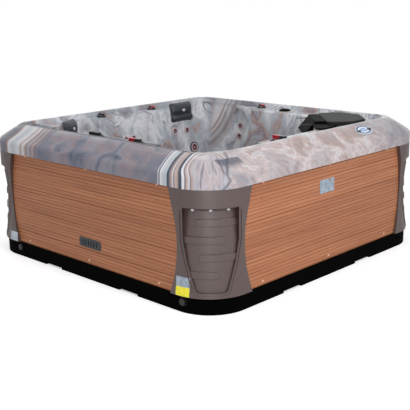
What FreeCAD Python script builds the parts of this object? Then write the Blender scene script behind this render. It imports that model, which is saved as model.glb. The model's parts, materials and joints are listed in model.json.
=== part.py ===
import FreeCAD, Part
import math
import os
import re
import Sketcher
from types import SimpleNamespace
from FreeCAD import Placement, Rotation, Vector

# Square moulded tub on a timber-look cabinet. Millimetres, +Z up, origin on the floor under the centre.
# The front (-Y) has the vent and the drains, the filter is at the right rear (+X, +Y).

doc = FreeCAD.newDocument("HotTub")

# Driving dimensions, in millimetres, degrees or counts.
SIZES = {
    # Rim of the moulded shell
    "rim_half": 1065,
    "rim_corner_radius": 270,
    "shell_wall": 8,
    "skirt_height": 74,
    "rim_slope_run": 150,
    "rim_slope_rise": 92,
    "skirt_bend_radius": 35,
    "crest_radius": 50,
    "crest_inner_radius": 10,
    "deck_drop": 32,
    "deck_inset": 189,
    "deck_roll_run": 14,
    "deck_corner_radius": 116,
    "form_overrun": 2,
    # Inside of the tub
    "well_corner_radius": 90,
    "well_lean_run": 60,
    "well_floor_radius": 30,
    "bench_level": 480,
    "bay_corner_radius": 90,
    "bay_back_radius": 120,
    "bay_lean_run": 70,
    "seat_edge_radius": 12,
    "far_seat_level": 420,
    "left_seat_level": 405,
    "near_seat_level": 410,
    "mid_seat_level": 450,
    "arch_half_width": 100,
    "arch_spring_level": 711,
    "arch_depth": 62,
    "footwell_half": 400,
    "footwell_corner_radius": 140,
    "footwell_lean_run": 40,
    "footwell_floor_level": 118,
    "footwell_floor_radius": 25,
    # Base pan
    "base_height": 98,
    "base_inset": 15,
    "base_corner_radius": 250,
    "base_wall": 26,
    "base_floor": 8,
    "fork_notch_width": 165,
    "fork_notch_height": 12,
    "fork_notch_depth": 20,
    "fork_notch_offset": 365,
    # Cabinet
    "cabinet_height": 606,
    "panel_inset": 25,
    "panel_thickness": 16,
    "panel_end_inset": 325,
    "panel_side_bulge": 47,
    "panel_tuck": 6,
    "top_plank": 75,
    "first_groove": 90,
    "groove_width": 7,
    "groove_depth": 4,
    "groove_count": 4,
    "reeds_per_plank": 7,
    "reeds_under": 4,
    "reed_count": 29,
    "reed_width": 2.4,
    "reed_depth": 1.2,
    "screw_inset": 113,
    "screw_edge": 24,
    "screw_top_gap": 104,
    "screw_shank_radius": 3,
    "screw_head_radius": 7,
    "screw_head_height": 3,
    "screw_clearance": 0.3,
    "screw_bite": 12,
    # Corner mouldings
    "brow_height": 101,
    "brow_slant": 20,
    "moulding_wall": 5,
    "moulding_depth": 35,
    "moulding_gap": 0.8,
    "foot_radius": 269,
    "waist_radius": 254,
    "waist_height": 250,
    "recess_foot_radius": 255,
    "recess_top_radius": 231,
    "bead_width": 6,
    "bead_gap": 9,
    "bead_rise": 3,
    "light_tilt": 40,
    "shield_half_width": 152,
    "shield_waist_half": 130,
    "shield_foot_half": 86,
    "shield_foot_height": 30,
    "shield_waist_height": 190,
    "shield_shoulder_height": 320,
    "shield_edge_radius": 28,
    "shield_top_radius": 6,
    "rib_count": 4,
    "rib_height": 40,
    "rib_pitch": 97,
    "rib_first": 108,
    "rib_rise": 7,
    "rib_round": 3,
    "rib_corner": 8,
    "rib_slant": 9,
    "rib_short": 66,
    "light_radius": 8,
    "light_height": 4,
    "light_depth": 12,
    "light_pitch": 98,
    # Frame
    "rail_inset": 269,
    "rail_depth": 40,
    "top_rail_height": 220,
    "bottom_rail_height": 130,
    "post_width": 50,
    "end_post_inset": 320,
    "mid_post_at": 250,
    "brace_width": 40,
    "brace_inset": 230,
    "brace_length": 280,
    "brace_height": 22,
    "seat_gap": 0.3,
    "board_inset": 365,
    "board_thickness": 25,
    "board_low": 60,
    "board_high": 700,
    # Front panel vent
    "vent_width": 205,
    "vent_height": 60,
    "vent_at": 15,
    "vent_level": 232,
    "vent_corner_radius": 14,
    "vent_flange": 4,
    "vent_lip": 9,
    "vent_slot_width": 9,
    "vent_slot_pitch": 26,
    "vent_slot_count": 6,
    # Drain valves
    "drain_left_inset": 319,
    "drain_right_inset": 228,
    "drain_level": 61,
    "drain_pocket_radius": 31,
    "drain_pocket_depth": 13,
    "drain_bore_radius": 12,
    "drain_flange_radius": 26,
    "drain_flange_height": 4,
    "drain_spigot_radius": 15,
    "drain_spigot_height": 9,
    "drain_cap_radius": 21,
    "drain_cap_height": 16,
    "drain_cap_rib": 1.5,
    "drain_cap_rib_count": 12,
    "running_gap": 0.4,
    # Rim controls
    "control_radius": 35,
    "control_ring_height": 6,
    "control_knob_radius": 30,
    "control_knob_height": 16,
    "control_lever_width": 13,
    "control_lever_height": 11,
    "control_stem_radius": 9,
    "control_valve_radius": 19,
    "control_valve_height": 62,
    "diverter_radius": 58,
    "diverter_ring_height": 8,
    "diverter_knob_radius": 50,
    "diverter_knob_height": 16,
    "diverter_lever_width": 24,
    "diverter_lever_height": 17,
    "diverter_stem_radius": 18,
    "diverter_valve_radius": 37,
    "diverter_valve_height": 96,
    "knob_taper": 4,
    "stem_reach": 12,
    "control_edge": 1.5,
    "lever_round": 3,
    # Jets
    "small_jet_radius": 29,
    "large_jet_radius": 43,
    "jet_face_height": 7,
    "jet_neck_share": 0.62,
    "jet_throat_share": 0.34,
    "jet_dish_depth": 4,
    "jet_neck_length": 22,
    "jet_body_length": 58,
    "jet_body_wall": 4,
    "jet_flange_rim": 11,
    "jet_port_radius": 8,
    "jet_port_reach": 16,
    "jet_flange_height": 6,
    "jet_vane_count": 3,
    "jet_vane_width": 5,
    # Headrest pillows
    "pillow_width": 240,
    "pillow_height": 152,
    "pillow_thickness": 46,
    "pillow_corner_radius": 34,
    "pillow_level": 779,
    "near_pillow_drop": 27,
    # Topside control
    "topside_length": 175,
    "topside_width": 86,
    "topside_height": 7,
    "topside_case_length": 104,
    "topside_case_width": 36,
    "topside_case_depth": 24,
    "window_length": 66,
    "window_width": 30,
    "window_height": 2,
    "key_radius": 9,
    "key_height": 4,
    "key_proud": 2,
    "key_travel": 1.2,
    "key_inner_at": 46,
    "key_outer_at": 69,
    # Speaker
    "speaker_radius": 70,
    "speaker_ring_height": 7,
    "speaker_cone_radius": 44,
    "speaker_depth": 34,
    "speaker_step": 1.5,
    "speaker_slot_pitch": 10,
    "speaker_slot_count": 6,
    "speaker_slot_width": 4,
    # Skimmer filter
    "bucket_radius": 116,
    "bucket_wall": 5,
    "bucket_floor_level": 290,
    "mouth_half_width": 150,
    "mouth_floor_level": 640,
    "mouth_front": 640,
    "mouth_rear": 880,
    "filter_centre": 840,
    "filter_front": 721,
    "skimmer_flange": 9,
    "skimmer_flange_height": 7,
    "lid_front": 800,
    "lid_rear": 1072,
    "lid_half_width": 215,
    "lid_rear_half_width": 110,
    "lid_shoulder": 960,
    "lid_corner_radius": 42,
    "lid_height": 24,
    "lid_edge": 7,
    "hood_half_width": 165,
    "hood_height": 22,
    "hood_setback": 3,
    "hood_edge": 6,
    "slat_count": 9,
    "slat_width": 8,
    "slat_depth": 14,
    "slat_setback": 2,
    "slat_rail": 10,
    "shell_clearance": 0.5,
    "weir_thickness": 9,
    "weir_height": 118,
    "weir_pin_radius": 4,
    "weir_gap": 1.5,
    "weir_setback": 29,
    "weir_half_width": 140,
    "pin_clearance": 0.05,
    "cartridge_radius": 96,
    "cartridge_length": 330,
    "cartridge_core_radius": 26,
    "cartridge_cap_height": 14,
    "pleat_count": 28,
    "pleat_depth": 13,
    # Footwell fittings
    "suction_radius": 50,
    "suction_height": 16,
    "strainer_wall": 4,
    "suction_neck_radius": 30,
    "suction_neck_length": 62,
    "suction_level": 200,
    "suction_at": 160,
    "suction_hole_radius": 5,
    "suction_ring_radius": 32,
    "suction_hole_count": 10,
    "lamp_radius": 62,
    "lamp_ring_height": 6,
    "lamp_lens_radius": 50,
    "lamp_lens_height": 12,
    "lamp_depth": 36,
    "lamp_level": 300,
    "floor_drain_radius": 28,
    "floor_drain_height": 5,
    "floor_drain_neck": 16,
    "floor_drain_length": 28,
    # Pumps, heater and pipes
    "pump_at": 357,
    "pump_inset": 305,
    "volute_radius": 92,
    "volute_length": 74,
    "motor_radius": 72,
    "motor_length": 236,
    "motor_fin_count": 16,
    "motor_fin_height": 7,
    "motor_fin_width": 6,
    "motor_foot_width": 120,
    "motor_foot_length": 150,
    "fan_cover_radius": 76,
    "fan_cover_length": 34,
    "pipe_radius": 25,
    "pipe_bend_radius": 55,
    "socket_radius": 31,
    "socket_length": 36,
    "riser_level": 350,
    "box_width": 300,
    "box_depth": 104,
    "box_height": 250,
    "box_inset": 165,
    "box_lid_height": 6,
    "heater_radius": 30,
    "heater_length": 360,
    "heater_union_radius": 39,
    "heater_union_length": 34,
    "heater_foot_width": 22,
    "cut_overrun": 5,
    "bore_reach": 24,
    "level_tolerance": 0.01,
}

# Dimensions that follow from the ones above
FOLLOWING = {
    "deck_half": "rim_half - deck_inset",
    "base_half": "rim_half - base_inset",
    "panel_end_half": "rim_half - panel_end_inset",
    "screw_pitch": "panel_end_half - screw_inset",
    "rail_half": "rim_half - rail_inset",
    "end_post_at": "rim_half - end_post_inset",
    "board_half": "rim_half - board_inset",
    "brace_reach": "sqrt(2) * rim_half - brace_inset",
    "plank_pitch": "(cabinet_height - first_groove - top_plank) / (groove_count - 1)",
    "drain_left_at": "drain_left_inset - base_half",
    "drain_right_at": "base_half - drain_right_inset",
    "pump_line": "rim_half - pump_inset",
    "box_line": "rim_half - box_inset",
    "reed_pitch": "plank_pitch / reeds_per_plank",
    "first_reed": "first_groove - reeds_under * reed_pitch",
}

sheet = doc.addObject("Spreadsheet::Sheet", "Sizes")
for row, (alias, content) in enumerate({**SIZES, **FOLLOWING}.items(), start=1):
    sheet.set(f"A{row}", alias)
    sheet.set(f"B{row}", f"={content}")
    sheet.setAlias(f"B{row}", alias)
doc.recompute()
S = SimpleNamespace(**{alias: float(sheet.get(alias)) for alias in {**SIZES, **FOLLOWING}})

# Levels and planes that follow from the driving dimensions
LIP_LEVEL = S.base_height + S.cabinet_height
BEND_LEVEL = LIP_LEVEL + S.skirt_height
CREST_LEVEL = BEND_LEVEL + S.rim_slope_rise
DECK_LEVEL = CREST_LEVEL - S.deck_drop
SLOPE = math.atan2(S.rim_slope_rise, S.rim_slope_run)
PANEL_HALF = S.rim_half - S.panel_inset
CORNER_AT = S.rim_half - S.rim_corner_radius
UP = Vector(0, 0, 1)
QUARTERS = (0, 90, 180, 270)
NODES = []

# Plan outlines of the tub's inside as shares of the rim's half width, counter-clockwise
WELL_SHARES = (
    (0.62, -0.685), (0.695, -0.5), (0.695, 0.263), (0.31, 0.648), (-0.178, 0.648),
    (-0.235, 0.751), (-0.728, 0.751), (-0.728, -0.45), (-0.6, -0.685),
)
FAR_BAY_SHARES = ((-0.404, 0.324), (-0.404, 0.808), (-0.808, 0.808), (-0.808, 0.324))
MID_BAY_SHARES = ((-0.404, -0.122), (-0.404, 0.178), (-0.808, 0.178), (-0.808, -0.122))
LEFT_BAY_SHARES = (
    (-0.404, -0.272), (-0.808, -0.272), (-0.808, -0.404),
    (-0.601, -0.808), (-0.263, -0.808), (-0.263, -0.404),
)
NEAR_BAY_SHARES = (
    (0.315, -0.404), (0.315, -0.808), (0.601, -0.808),
    (0.808, -0.423), (0.808, -0.3), (0.404, -0.3),
)
ARCH_AT_SHARE = -0.392

# Places on the deck as shares of the rim's half width
AIR_CONTROL_SHARES = ((-0.772, -0.218), (-0.772, 0.246), (-0.192, 0.786))
DIVERTER_SHARES = ((0.759, -0.183), (0.188, -0.759), (-0.167, -0.759))
SPEAKER_SHARES = (0.06, 0.735)
TOPSIDE_ALONG_SHARE = 0.417
TOPSIDE_SLOPE_SHARE = 0.587


def formula(text):
    """A formula in which the name of each size stands for its cell in the sheet."""
    return re.sub(r"[a-z]+(?:_[a-z]+)+", lambda found: f"Sizes.{found.group()}", text)


def value(text):
    return float(sheet.evalExpression(formula(text)))


def bind(item, **formulas):
    """Ties properties to formulas; a double underscore in a name stands for a dot."""
    for path, text in formulas.items():
        item.setExpression(path.replace("__", "."), formula(text))
    return item


def solid_feature(name, shape, placement=None):
    """A sub-part whose shape comes from the functions below."""
    item = doc.addObject("Part::Feature", name)
    item.Label = name
    item.Shape = shape
    if placement is not None:
        item.Placement = placement
    return item


def node(item):
    """Marks an object as one of the sub-parts that are written out."""
    NODES.append(item)
    return item


def turned(shape, degrees):
    copy = shape.copy()
    copy.rotate(Vector(), UP, degrees)
    return copy


def placed(shape, placement):
    copy = shape.copy()
    copy.Placement = placement.multiply(copy.Placement)
    return copy


def frame_at(origin, across, outward):
    """Placement whose Z axis points outward and whose X axis runs across."""
    z_axis = Vector(outward).normalize()
    y_axis = z_axis.cross(Vector(across)).normalize()
    x_axis = y_axis.cross(z_axis)
    return Placement(origin, Rotation(x_axis, y_axis, z_axis, "ZXY"))


def cylinder(radius, low, high):
    return Part.makeCylinder(radius, high - low, Vector(0, 0, low), UP)


def ring(outer, inner, low, high):
    return cylinder(outer, low, high).cut(cylinder(inner, low - S.cut_overrun, high + S.cut_overrun))


def block(low, high):
    corner = Vector(*low)
    return Part.makeBox(high[0] - low[0], high[1] - low[1], high[2] - low[2], corner)


def scaled(shares, unit=None):
    unit = S.rim_half if unit is None else unit
    return [(x * unit, y * unit) for x, y in shares]


def with_radius(points, radii):
    """Corners as (x, y, radius) from points and one radius or a list of them."""
    if not isinstance(radii, (list, tuple)):
        radii = [radii] * len(points)
    return [(x, y, radius) for (x, y), radius in zip(points, radii)]


def rounded_outline(corners, level):
    """Closed wire of lines and arcs through rounded corners, counter-clockwise."""
    arcs = []
    for index, (x, y, radius) in enumerate(corners):
        corner = Vector(x, y, level)
        before = Vector(*corners[index - 1][:2], level) - corner
        after = Vector(*corners[(index + 1) % len(corners)][:2], level) - corner
        before.normalize()
        after.normalize()
        half_angle = before.getAngle(after) / 2
        reach = radius / math.tan(half_angle)
        inward = (before + after).normalize()
        centre = corner + inward * (radius / math.sin(half_angle))
        arcs.append((corner + before * reach, centre - inward * radius, corner + after * reach))
    edges = []
    for index, arc in enumerate(arcs):
        following = arcs[(index + 1) % len(arcs)]
        edges.append(Part.Arc(*arc).toShape())
        edges.append(Part.LineSegment(arc[2], following[0]).toShape())
    return Part.Wire(edges)


def inset_corners(corners, distance):
    """The same rounded outline moved inward by a distance; convex arcs shrink, hollow arcs grow."""
    moved = []
    for index, (x, y, radius) in enumerate(corners):
        corner = Vector(x, y, 0)
        before = (corner - Vector(*corners[index - 1][:2], 0)).normalize()
        after = (Vector(*corners[(index + 1) % len(corners)][:2], 0) - corner).normalize()
        turn = before.x * after.y - before.y * after.x
        first = corner + Vector(-before.y, before.x, 0) * distance
        second = corner + Vector(-after.y, after.x, 0) * distance
        gap = second - first
        point = first + before * ((gap.x * after.y - gap.y * after.x) / turn)
        moved.append((point.x, point.y, radius - distance if turn > 0 else radius + distance))
    return moved


def square_corners(half, radius):
    return [(half, -half, radius), (half, half, radius), (-half, half, radius), (-half, -half, radius)]


def ruled(*wires):
    solids = [Part.makeLoft([low, high], True, True) for low, high in zip(wires, wires[1:])]
    if len(solids) == 1:
        return solids[0]
    return solids[0].multiFuse(solids[1:]).removeSplitter().Solids[0]


def level_edges(shape, level, inside=None):
    """Edges that lie at one level, and within a half width where one is given."""
    chosen = []
    for edge in shape.Edges:
        if all(abs(vertex.Z - level) < S.level_tolerance for vertex in edge.Vertexes):
            reach = max(abs(value) for value in (edge.BoundBox.XMin, edge.BoundBox.XMax,
                                                 edge.BoundBox.YMin, edge.BoundBox.YMax))
            if inside is None or reach < inside:
                chosen.append(edge)
    return chosen


# The moulded shell

def rim_form(grow):
    """Outside of the rim (grow 0) or its underside (grow minus one wall), open downwards."""
    half = S.rim_half + grow
    bend = BEND_LEVEL + grow * math.cos(SLOPE) / (1 + math.sin(SLOPE))
    crest_half = S.rim_half - S.rim_slope_run + grow * math.tan(SLOPE / 2)
    crest = CREST_LEVEL + grow
    low = LIP_LEVEL if grow == 0 else LIP_LEVEL - S.cut_overrun
    radius = S.rim_corner_radius + grow
    crest_radius = crest_half - CORNER_AT
    form = ruled(
        rounded_outline(square_corners(half, radius), low),
        rounded_outline(square_corners(half, radius), bend),
        rounded_outline(square_corners(crest_half, crest_radius), crest),
    )
    if grow == 0:
        form = form.cut(deck_form(0)).removeSplitter().Solids[0]
        form = form.makeFillet(S.crest_inner_radius, level_edges(form, crest, crest_half - S.deck_roll_run))
    form = form.makeFillet(S.crest_radius + grow,
                           level_edges(form, crest)[-8:] if grow else outer_loop(form, crest))
    return form.makeFillet(S.skirt_bend_radius + grow, level_edges(form, bend))


def outer_loop(form, level):
    half = S.rim_half - S.rim_slope_run
    return [edge for edge in level_edges(form, level)
            if edge not in level_edges(form, level, half - S.deck_roll_run)]


def deck_form(grow):
    """The lowered deck inside the crest; grown by one wall it is the deck's underside."""
    top = CREST_LEVEL + S.form_overrun if grow == 0 else CREST_LEVEL - S.form_overrun
    high_half = S.deck_half + S.deck_roll_run + grow
    return ruled(
        rounded_outline(square_corners(S.deck_half + grow, S.deck_corner_radius + grow), DECK_LEVEL - grow),
        rounded_outline(square_corners(high_half, S.deck_corner_radius + S.deck_roll_run + grow), top),
    )


def leaning_hollow(corners, floor_level, lean_run, floor_radius, grow):
    """A hollow from the deck down to a floor, its walls leaning in towards the floor."""
    top = DECK_LEVEL + S.form_overrun if grow == 0 else DECK_LEVEL
    steepness = lean_run / (DECK_LEVEL - floor_level)
    low = floor_level - grow
    hollow = ruled(
        rounded_outline(inset_corners(corners, steepness * (DECK_LEVEL - low) - grow), low),
        rounded_outline(inset_corners(corners, steepness * (DECK_LEVEL - top) - grow), top),
    )
    return hollow.makeFillet(floor_radius + grow, level_edges(hollow, low))


def bay_corners(shares, back_radius=None):
    """Rounded corners of a seat bay; its outer corners take the back's radius."""
    points = scaled(shares)
    far_half = max(abs(value) for point in points for value in point)
    radii = []
    for x, y in points:
        outer = back_radius is not None and max(abs(x), abs(y)) >= far_half * 0.999
        radii.append(back_radius if outer and (x, y) in points[1:-1] else S.bay_corner_radius)
    return with_radius(points, radii)


WELL = with_radius(scaled(WELL_SHARES), S.well_corner_radius)
FAR_BAY = bay_corners(FAR_BAY_SHARES)
FAR_BAY[2] = (FAR_BAY[2][0], FAR_BAY[2][1], S.bay_back_radius)
MID_BAY = bay_corners(MID_BAY_SHARES)
LEFT_BAY = bay_corners(LEFT_BAY_SHARES)
NEAR_BAY = bay_corners(NEAR_BAY_SHARES)
for bay, places in ((LEFT_BAY, (2, 3)), (NEAR_BAY, (2, 3))):
    for place in places:
        bay[place] = (bay[place][0], bay[place][1], S.bay_back_radius)
FOOTWELL = square_corners(S.footwell_half, S.footwell_corner_radius)
BAYS = (
    (FAR_BAY, S.far_seat_level),
    (LEFT_BAY, S.left_seat_level),
    (NEAR_BAY, S.near_seat_level),
    (MID_BAY, S.mid_seat_level),
)
ARCH_AT = ARCH_AT_SHARE * S.rim_half
WELL_REAR = WELL[5][1]


def arch_form(grow):
    """Arch-topped hollow for one bather's back in the rear wall, leaning with the wall."""
    radius = S.arch_half_width + grow
    spring = S.arch_spring_level - DECK_LEVEL
    depth = S.arch_depth + S.arch_half_width
    foot = S.mid_seat_level - DECK_LEVEL
    upright = Part.makeBox(2 * radius, depth + grow, spring - foot + depth, Vector(-radius, -depth, foot - depth))
    crown = Part.makeCylinder(radius, depth + grow, Vector(0, -depth, spring), Vector(0, 1, 0))
    arch = upright.fuse(crown)
    arch.rotate(Vector(), Vector(1, 0, 0), -math.degrees(math.atan2(S.well_lean_run, DECK_LEVEL - S.bench_level)))
    arch.translate(Vector(ARCH_AT, WELL_REAR + S.arch_depth, DECK_LEVEL))
    keep = Part.makeBox(4 * radius, 4 * depth, DECK_LEVEL,
                        Vector(ARCH_AT - 2 * radius, WELL_REAR - 2 * depth, foot + DECK_LEVEL - grow))
    return arch.common(keep)


def footwell_form(grow):
    low, top = S.footwell_floor_level - grow, S.bench_level + S.form_overrun
    steepness = S.footwell_lean_run / (S.bench_level - S.footwell_floor_level)
    hollow = ruled(
        rounded_outline(inset_corners(FOOTWELL, steepness * (S.bench_level - low) - grow), low),
        rounded_outline(inset_corners(FOOTWELL, steepness * (S.bench_level - top) - grow), top),
    )
    return hollow.makeFillet(S.footwell_floor_radius + grow, level_edges(hollow, low))


def cavity_form(grow):
    """Everything hollow below the deck; grown by one wall it is the outside of the tub."""
    hollows = [leaning_hollow(WELL, S.bench_level, S.well_lean_run, S.well_floor_radius, grow)]
    for corners, level in BAYS:
        hollows.append(leaning_hollow(corners, level, S.bay_lean_run, S.seat_edge_radius, grow))
    hollows.append(arch_form(grow))
    hollows.append(footwell_form(grow))
    return hollows[0].multiFuse(hollows[1:]).removeSplitter()


def shell_form():
    tub_outside = cavity_form(S.shell_wall).fuse(deck_form(S.shell_wall))
    underside = rim_form(-S.shell_wall).cut(tub_outside)
    shell = rim_form(0).fuse(tub_outside).cut(underside).cut(cavity_form(0)).cut(deck_form(0))
    return shell.removeSplitter()


# Frames on the tub's walls and deck: Z points into the tub, X runs along the wall

def wall_frame(corners, edge, along_share, level, top_level, floor_level, lean_run):
    start = Vector(*corners[edge][:2], 0)
    end = Vector(*corners[(edge + 1) % len(corners)][:2], 0)
    run = end - start
    inward = Vector(-run.y, run.x, 0).normalize()
    steepness = lean_run / (top_level - floor_level)
    origin = start + run * along_share + inward * (steepness * (top_level - level)) + UP * level
    return frame_at(origin, run * -1, inward + UP * steepness)


def bay_frame(bay, along_share, rise_share):
    """Frame on a bay's back wall, part of the way along it and up it."""
    corners, floor_level = bay
    level = floor_level + rise_share * (DECK_LEVEL - floor_level)
    return wall_frame(corners, 2, along_share, level, DECK_LEVEL, floor_level, S.bay_lean_run)


def arch_frame(rise_share):
    rear = WELL_REAR + S.arch_depth
    corners = [(ARCH_AT + S.arch_half_width, rear), (ARCH_AT - S.arch_half_width, rear)]
    level = S.mid_seat_level + rise_share * (DECK_LEVEL - S.mid_seat_level)
    return wall_frame(corners, 0, 1 / 2, level, DECK_LEVEL, S.bench_level, S.well_lean_run)


def footwell_frame(edge, along, level):
    along_share = 1 / 2 + along / (2 * S.footwell_half)
    corners, floor_level = FOOTWELL, S.footwell_floor_level
    return wall_frame(corners, edge, along_share, level, S.bench_level, floor_level, S.footwell_lean_run)


def deck_frame(shares):
    x, y = scaled([shares])[0]
    return frame_at(Vector(x, y, DECK_LEVEL), Vector(1, 0, 0), UP)


FAR, LEFT, NEAR, MID = BAYS
SMALL_JET_SHARES = (
    (FAR, 0.689, 0.522), (FAR, 0.431, 0.5), (LEFT, 0.34, 0.543), (LEFT, 0.62, 0.543),
    (NEAR, 0.36, 0.537), (NEAR, 0.65, 0.537), (MID, 0.38, 0.49), (MID, 0.62, 0.49),
)
ARCH_JET_SHARES = (0.593, 0.387)
LARGE_JET_SHARES = (
    ("far", FAR, 0.322, 0.153), ("left", LEFT, 0.5, 0.266), ("near", NEAR, 0.5, 0.257), ("mid", MID, 0.5, 0.232),
)
SMALL_JETS = [bay_frame(*shares) for shares in SMALL_JET_SHARES] + [arch_frame(share) for share in ARCH_JET_SHARES]
LARGE_JETS = [(name, bay_frame(*shares)) for name, *shares in LARGE_JET_SHARES]
AIR_CONTROLS = [deck_frame(shares) for shares in AIR_CONTROL_SHARES]
DIVERTERS = [deck_frame(shares) for shares in DIVERTER_SHARES]
SPEAKER = deck_frame(SPEAKER_SHARES)
TOPSIDE = frame_at(
    Vector(
        S.rim_half - TOPSIDE_SLOPE_SHARE * S.rim_slope_run,
        TOPSIDE_ALONG_SHARE * S.rim_half,
        BEND_LEVEL + TOPSIDE_SLOPE_SHARE * S.rim_slope_rise,
    ),
    Vector(0, 1, 0),
    Vector(math.sin(SLOPE), 0, math.cos(SLOPE)),
)
SUCTIONS = [footwell_frame(3, side * S.suction_at, S.suction_level) for side in (-1, 1)]
LAMP = footwell_frame(0, 0, S.lamp_level)
FLOOR_DRAIN = frame_at(Vector(0, 0, S.footwell_floor_level), Vector(1, 0, 0), UP)
SKIMMER = Placement(Vector(), Rotation(UP, -45))


# Skimmer outlines in its own frame: Y runs from the middle of the tub to its right rear corner

def lid_corners(grow):
    points = [
        (-S.lid_half_width, S.lid_front), (S.lid_half_width, S.lid_front),
        (S.lid_half_width, S.lid_shoulder), (S.lid_rear_half_width, S.lid_rear),
        (-S.lid_rear_half_width, S.lid_rear), (-S.lid_half_width, S.lid_shoulder),
    ]
    return inset_corners(with_radius(points, S.lid_corner_radius), -grow)


def prism(corners, low, high):
    return Part.Face(rounded_outline(corners, low)).extrude(UP * (high - low))


def mouth_block(inset, rear, low, high):
    half = S.mouth_half_width - inset
    return block((-half, S.mouth_front, low), (half, rear, high))


def channel_form(inset, high):
    """The skimmer's mouth and bucket as one form, open upwards when it runs past the deck."""
    bucket = cylinder(S.bucket_radius - inset, S.bucket_floor_level + inset, high)
    bucket.translate(Vector(0, S.filter_centre, 0))
    return mouth_block(inset, S.mouth_rear - inset, S.mouth_floor_level + inset, high).fuse(bucket)


# Holes that the fittings need in the shell

def shell_holes():
    def bore(frame, radius):
        return placed(cylinder(radius + S.shell_clearance, -S.bore_reach, S.bore_reach), frame)

    holes = [bore(frame, S.small_jet_radius * S.jet_neck_share) for frame in SMALL_JETS]
    holes += [bore(frame, S.large_jet_radius * S.jet_neck_share) for _, frame in LARGE_JETS]
    holes += [bore(frame, S.control_stem_radius) for frame in AIR_CONTROLS]
    holes += [bore(frame, S.diverter_stem_radius) for frame in DIVERTERS]
    holes += [bore(frame, S.suction_neck_radius) for frame in SUCTIONS]
    holes.append(bore(SPEAKER, S.speaker_cone_radius))
    holes.append(bore(LAMP, S.lamp_lens_radius))
    holes.append(bore(FLOOR_DRAIN, S.floor_drain_neck))
    length = S.topside_case_length / 2 + S.shell_clearance
    width = S.topside_case_width / 2 + S.shell_clearance
    slot = block((-length, -width, -S.bore_reach), (length, width, S.bore_reach))
    holes.append(placed(slot, TOPSIDE))
    holes.append(placed(channel_form(-S.shell_clearance, DECK_LEVEL + S.cut_overrun), SKIMMER))
    return holes


def drilled_shell():
    shell = shell_form()
    for hole in shell_holes():
        shell = shell.cut(hole)
    return max(shell.Solids, key=lambda solid: solid.Volume)


node(solid_feature("acrylic_shell", drilled_shell()))


# Sketches and bodies

def origin_item(body, role):
    return next(item for item in body.Origin.OriginFeatures if item.Role == role)


def new_body(name, placement=None):
    body = doc.addObject("PartDesign::Body", name)
    body.Label = name
    if placement is not None:
        body.Placement = placement
    return body


def new_sketch(body, name, role, offset=None):
    """Sketch on one of the body's own planes, moved off it by a formula."""
    sketch = body.newObject("Sketcher::SketchObject", f"{body.Name}_{name}")
    sketch.AttachmentSupport = [(origin_item(body, role), "")]
    sketch.MapMode = "FlatFace"
    if offset is not None:
        bind(sketch, AttachmentOffset__Base__z=offset)
    return sketch


def fix_point(sketch, geometry, end, x, y):
    """Holds one point of a sketch at a place given by two formulas."""
    for kind, axis, text in (("DistanceX", -2, x), ("DistanceY", -1, y)):
        if text == "0":
            sketch.addConstraint(Sketcher.Constraint("PointOnObject", geometry, end, axis))
        else:
            index = sketch.addConstraint(Sketcher.Constraint(kind, -1, 1, geometry, end, value(text)))
            bind(sketch, **{f"Constraints[{index}]": text})


def draw_outline(sketch, points):
    """Closed outline of straight lines through points given as pairs of formulas."""
    places = [Vector(value(x), value(y), 0) for x, y in points]
    first = sketch.GeometryCount
    for start, end in zip(places, places[1:] + places[:1]):
        sketch.addGeometry(Part.LineSegment(start, end))
    for index, (x, y) in enumerate(points):
        following = first + (index + 1) % len(points)
        sketch.addConstraint(Sketcher.Constraint("Coincident", first + index, 2, following, 1))
        fix_point(sketch, first + index, 1, x, y)


def draw_rectangle(sketch, left, low, right, high):
    draw_outline(sketch, [(left, low), (right, low), (right, high), (left, high)])


def draw_rounded_square(sketch, half, radius):
    """Square with round corners: four lines joined by four quarter arcs."""
    size, bend = value(half), value(radius)
    straight = size - bend
    for turn in range(4):
        turning = Rotation(UP, 90 * turn)
        line = [turning.multVec(Vector(side * straight, -size, 0)) for side in (-1, 1)]
        middle = turning.multVec(Vector(1, -1, 0) * straight + Vector(1, -1, 0).normalize() * bend)
        sketch.addGeometry(Part.LineSegment(*line))
        sketch.addGeometry(Part.ArcOfCircle(line[1], middle, turning.multVec(Vector(size, -straight, 0))))
    for turn in range(4):
        line, arc, following = 2 * turn, 2 * turn + 1, (2 * turn + 2) % 8
        sketch.addConstraint(Sketcher.Constraint("Coincident", line, 2, arc, 1))
        sketch.addConstraint(Sketcher.Constraint("Coincident", arc, 2, following, 1))
        index = sketch.addConstraint(Sketcher.Constraint("Radius", arc, bend))
        bind(sketch, **{f"Constraints[{index}]": radius})
    run = f"({half} - ({radius}))"
    for line, x, y, end_x, end_y in ((0, f"-{run}", f"-({half})", run, f"-({half})"),
                                     (2, half, f"-{run}", half, run),
                                     (4, run, half, f"-{run}", half),
                                     (6, f"-({half})", run, f"-({half})", f"-{run}")):
        fix_point(sketch, line, 1, x, y)
        fix_point(sketch, line, 2, end_x, end_y)


def draw_circle(sketch, radius, x, y):
    centre = Vector(value(x), value(y), 0)
    circle = sketch.addGeometry(Part.Circle(centre, UP, value(radius)))
    fix_point(sketch, circle, 3, x, y)
    index = sketch.addConstraint(Sketcher.Constraint("Radius", circle, value(radius)))
    bind(sketch, **{f"Constraints[{index}]": radius})


def add_feature(body, kind, name, sketch, length, **settings):
    """Pad or pocket of a sketch; a pocket must take something away."""
    before = body.Shape.copy()
    feature = body.newObject(f"PartDesign::{kind}", f"{body.Name}_{name}")
    feature.Profile = sketch
    for key, setting in settings.items():
        setattr(feature, key, setting)
    bind(feature, Length=length)
    doc.recompute()
    if kind == "Pocket" and body.Shape.Volume > before.Volume - S.level_tolerance:
        raise ValueError(f"{feature.Name} cut nothing")
    return feature


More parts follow.
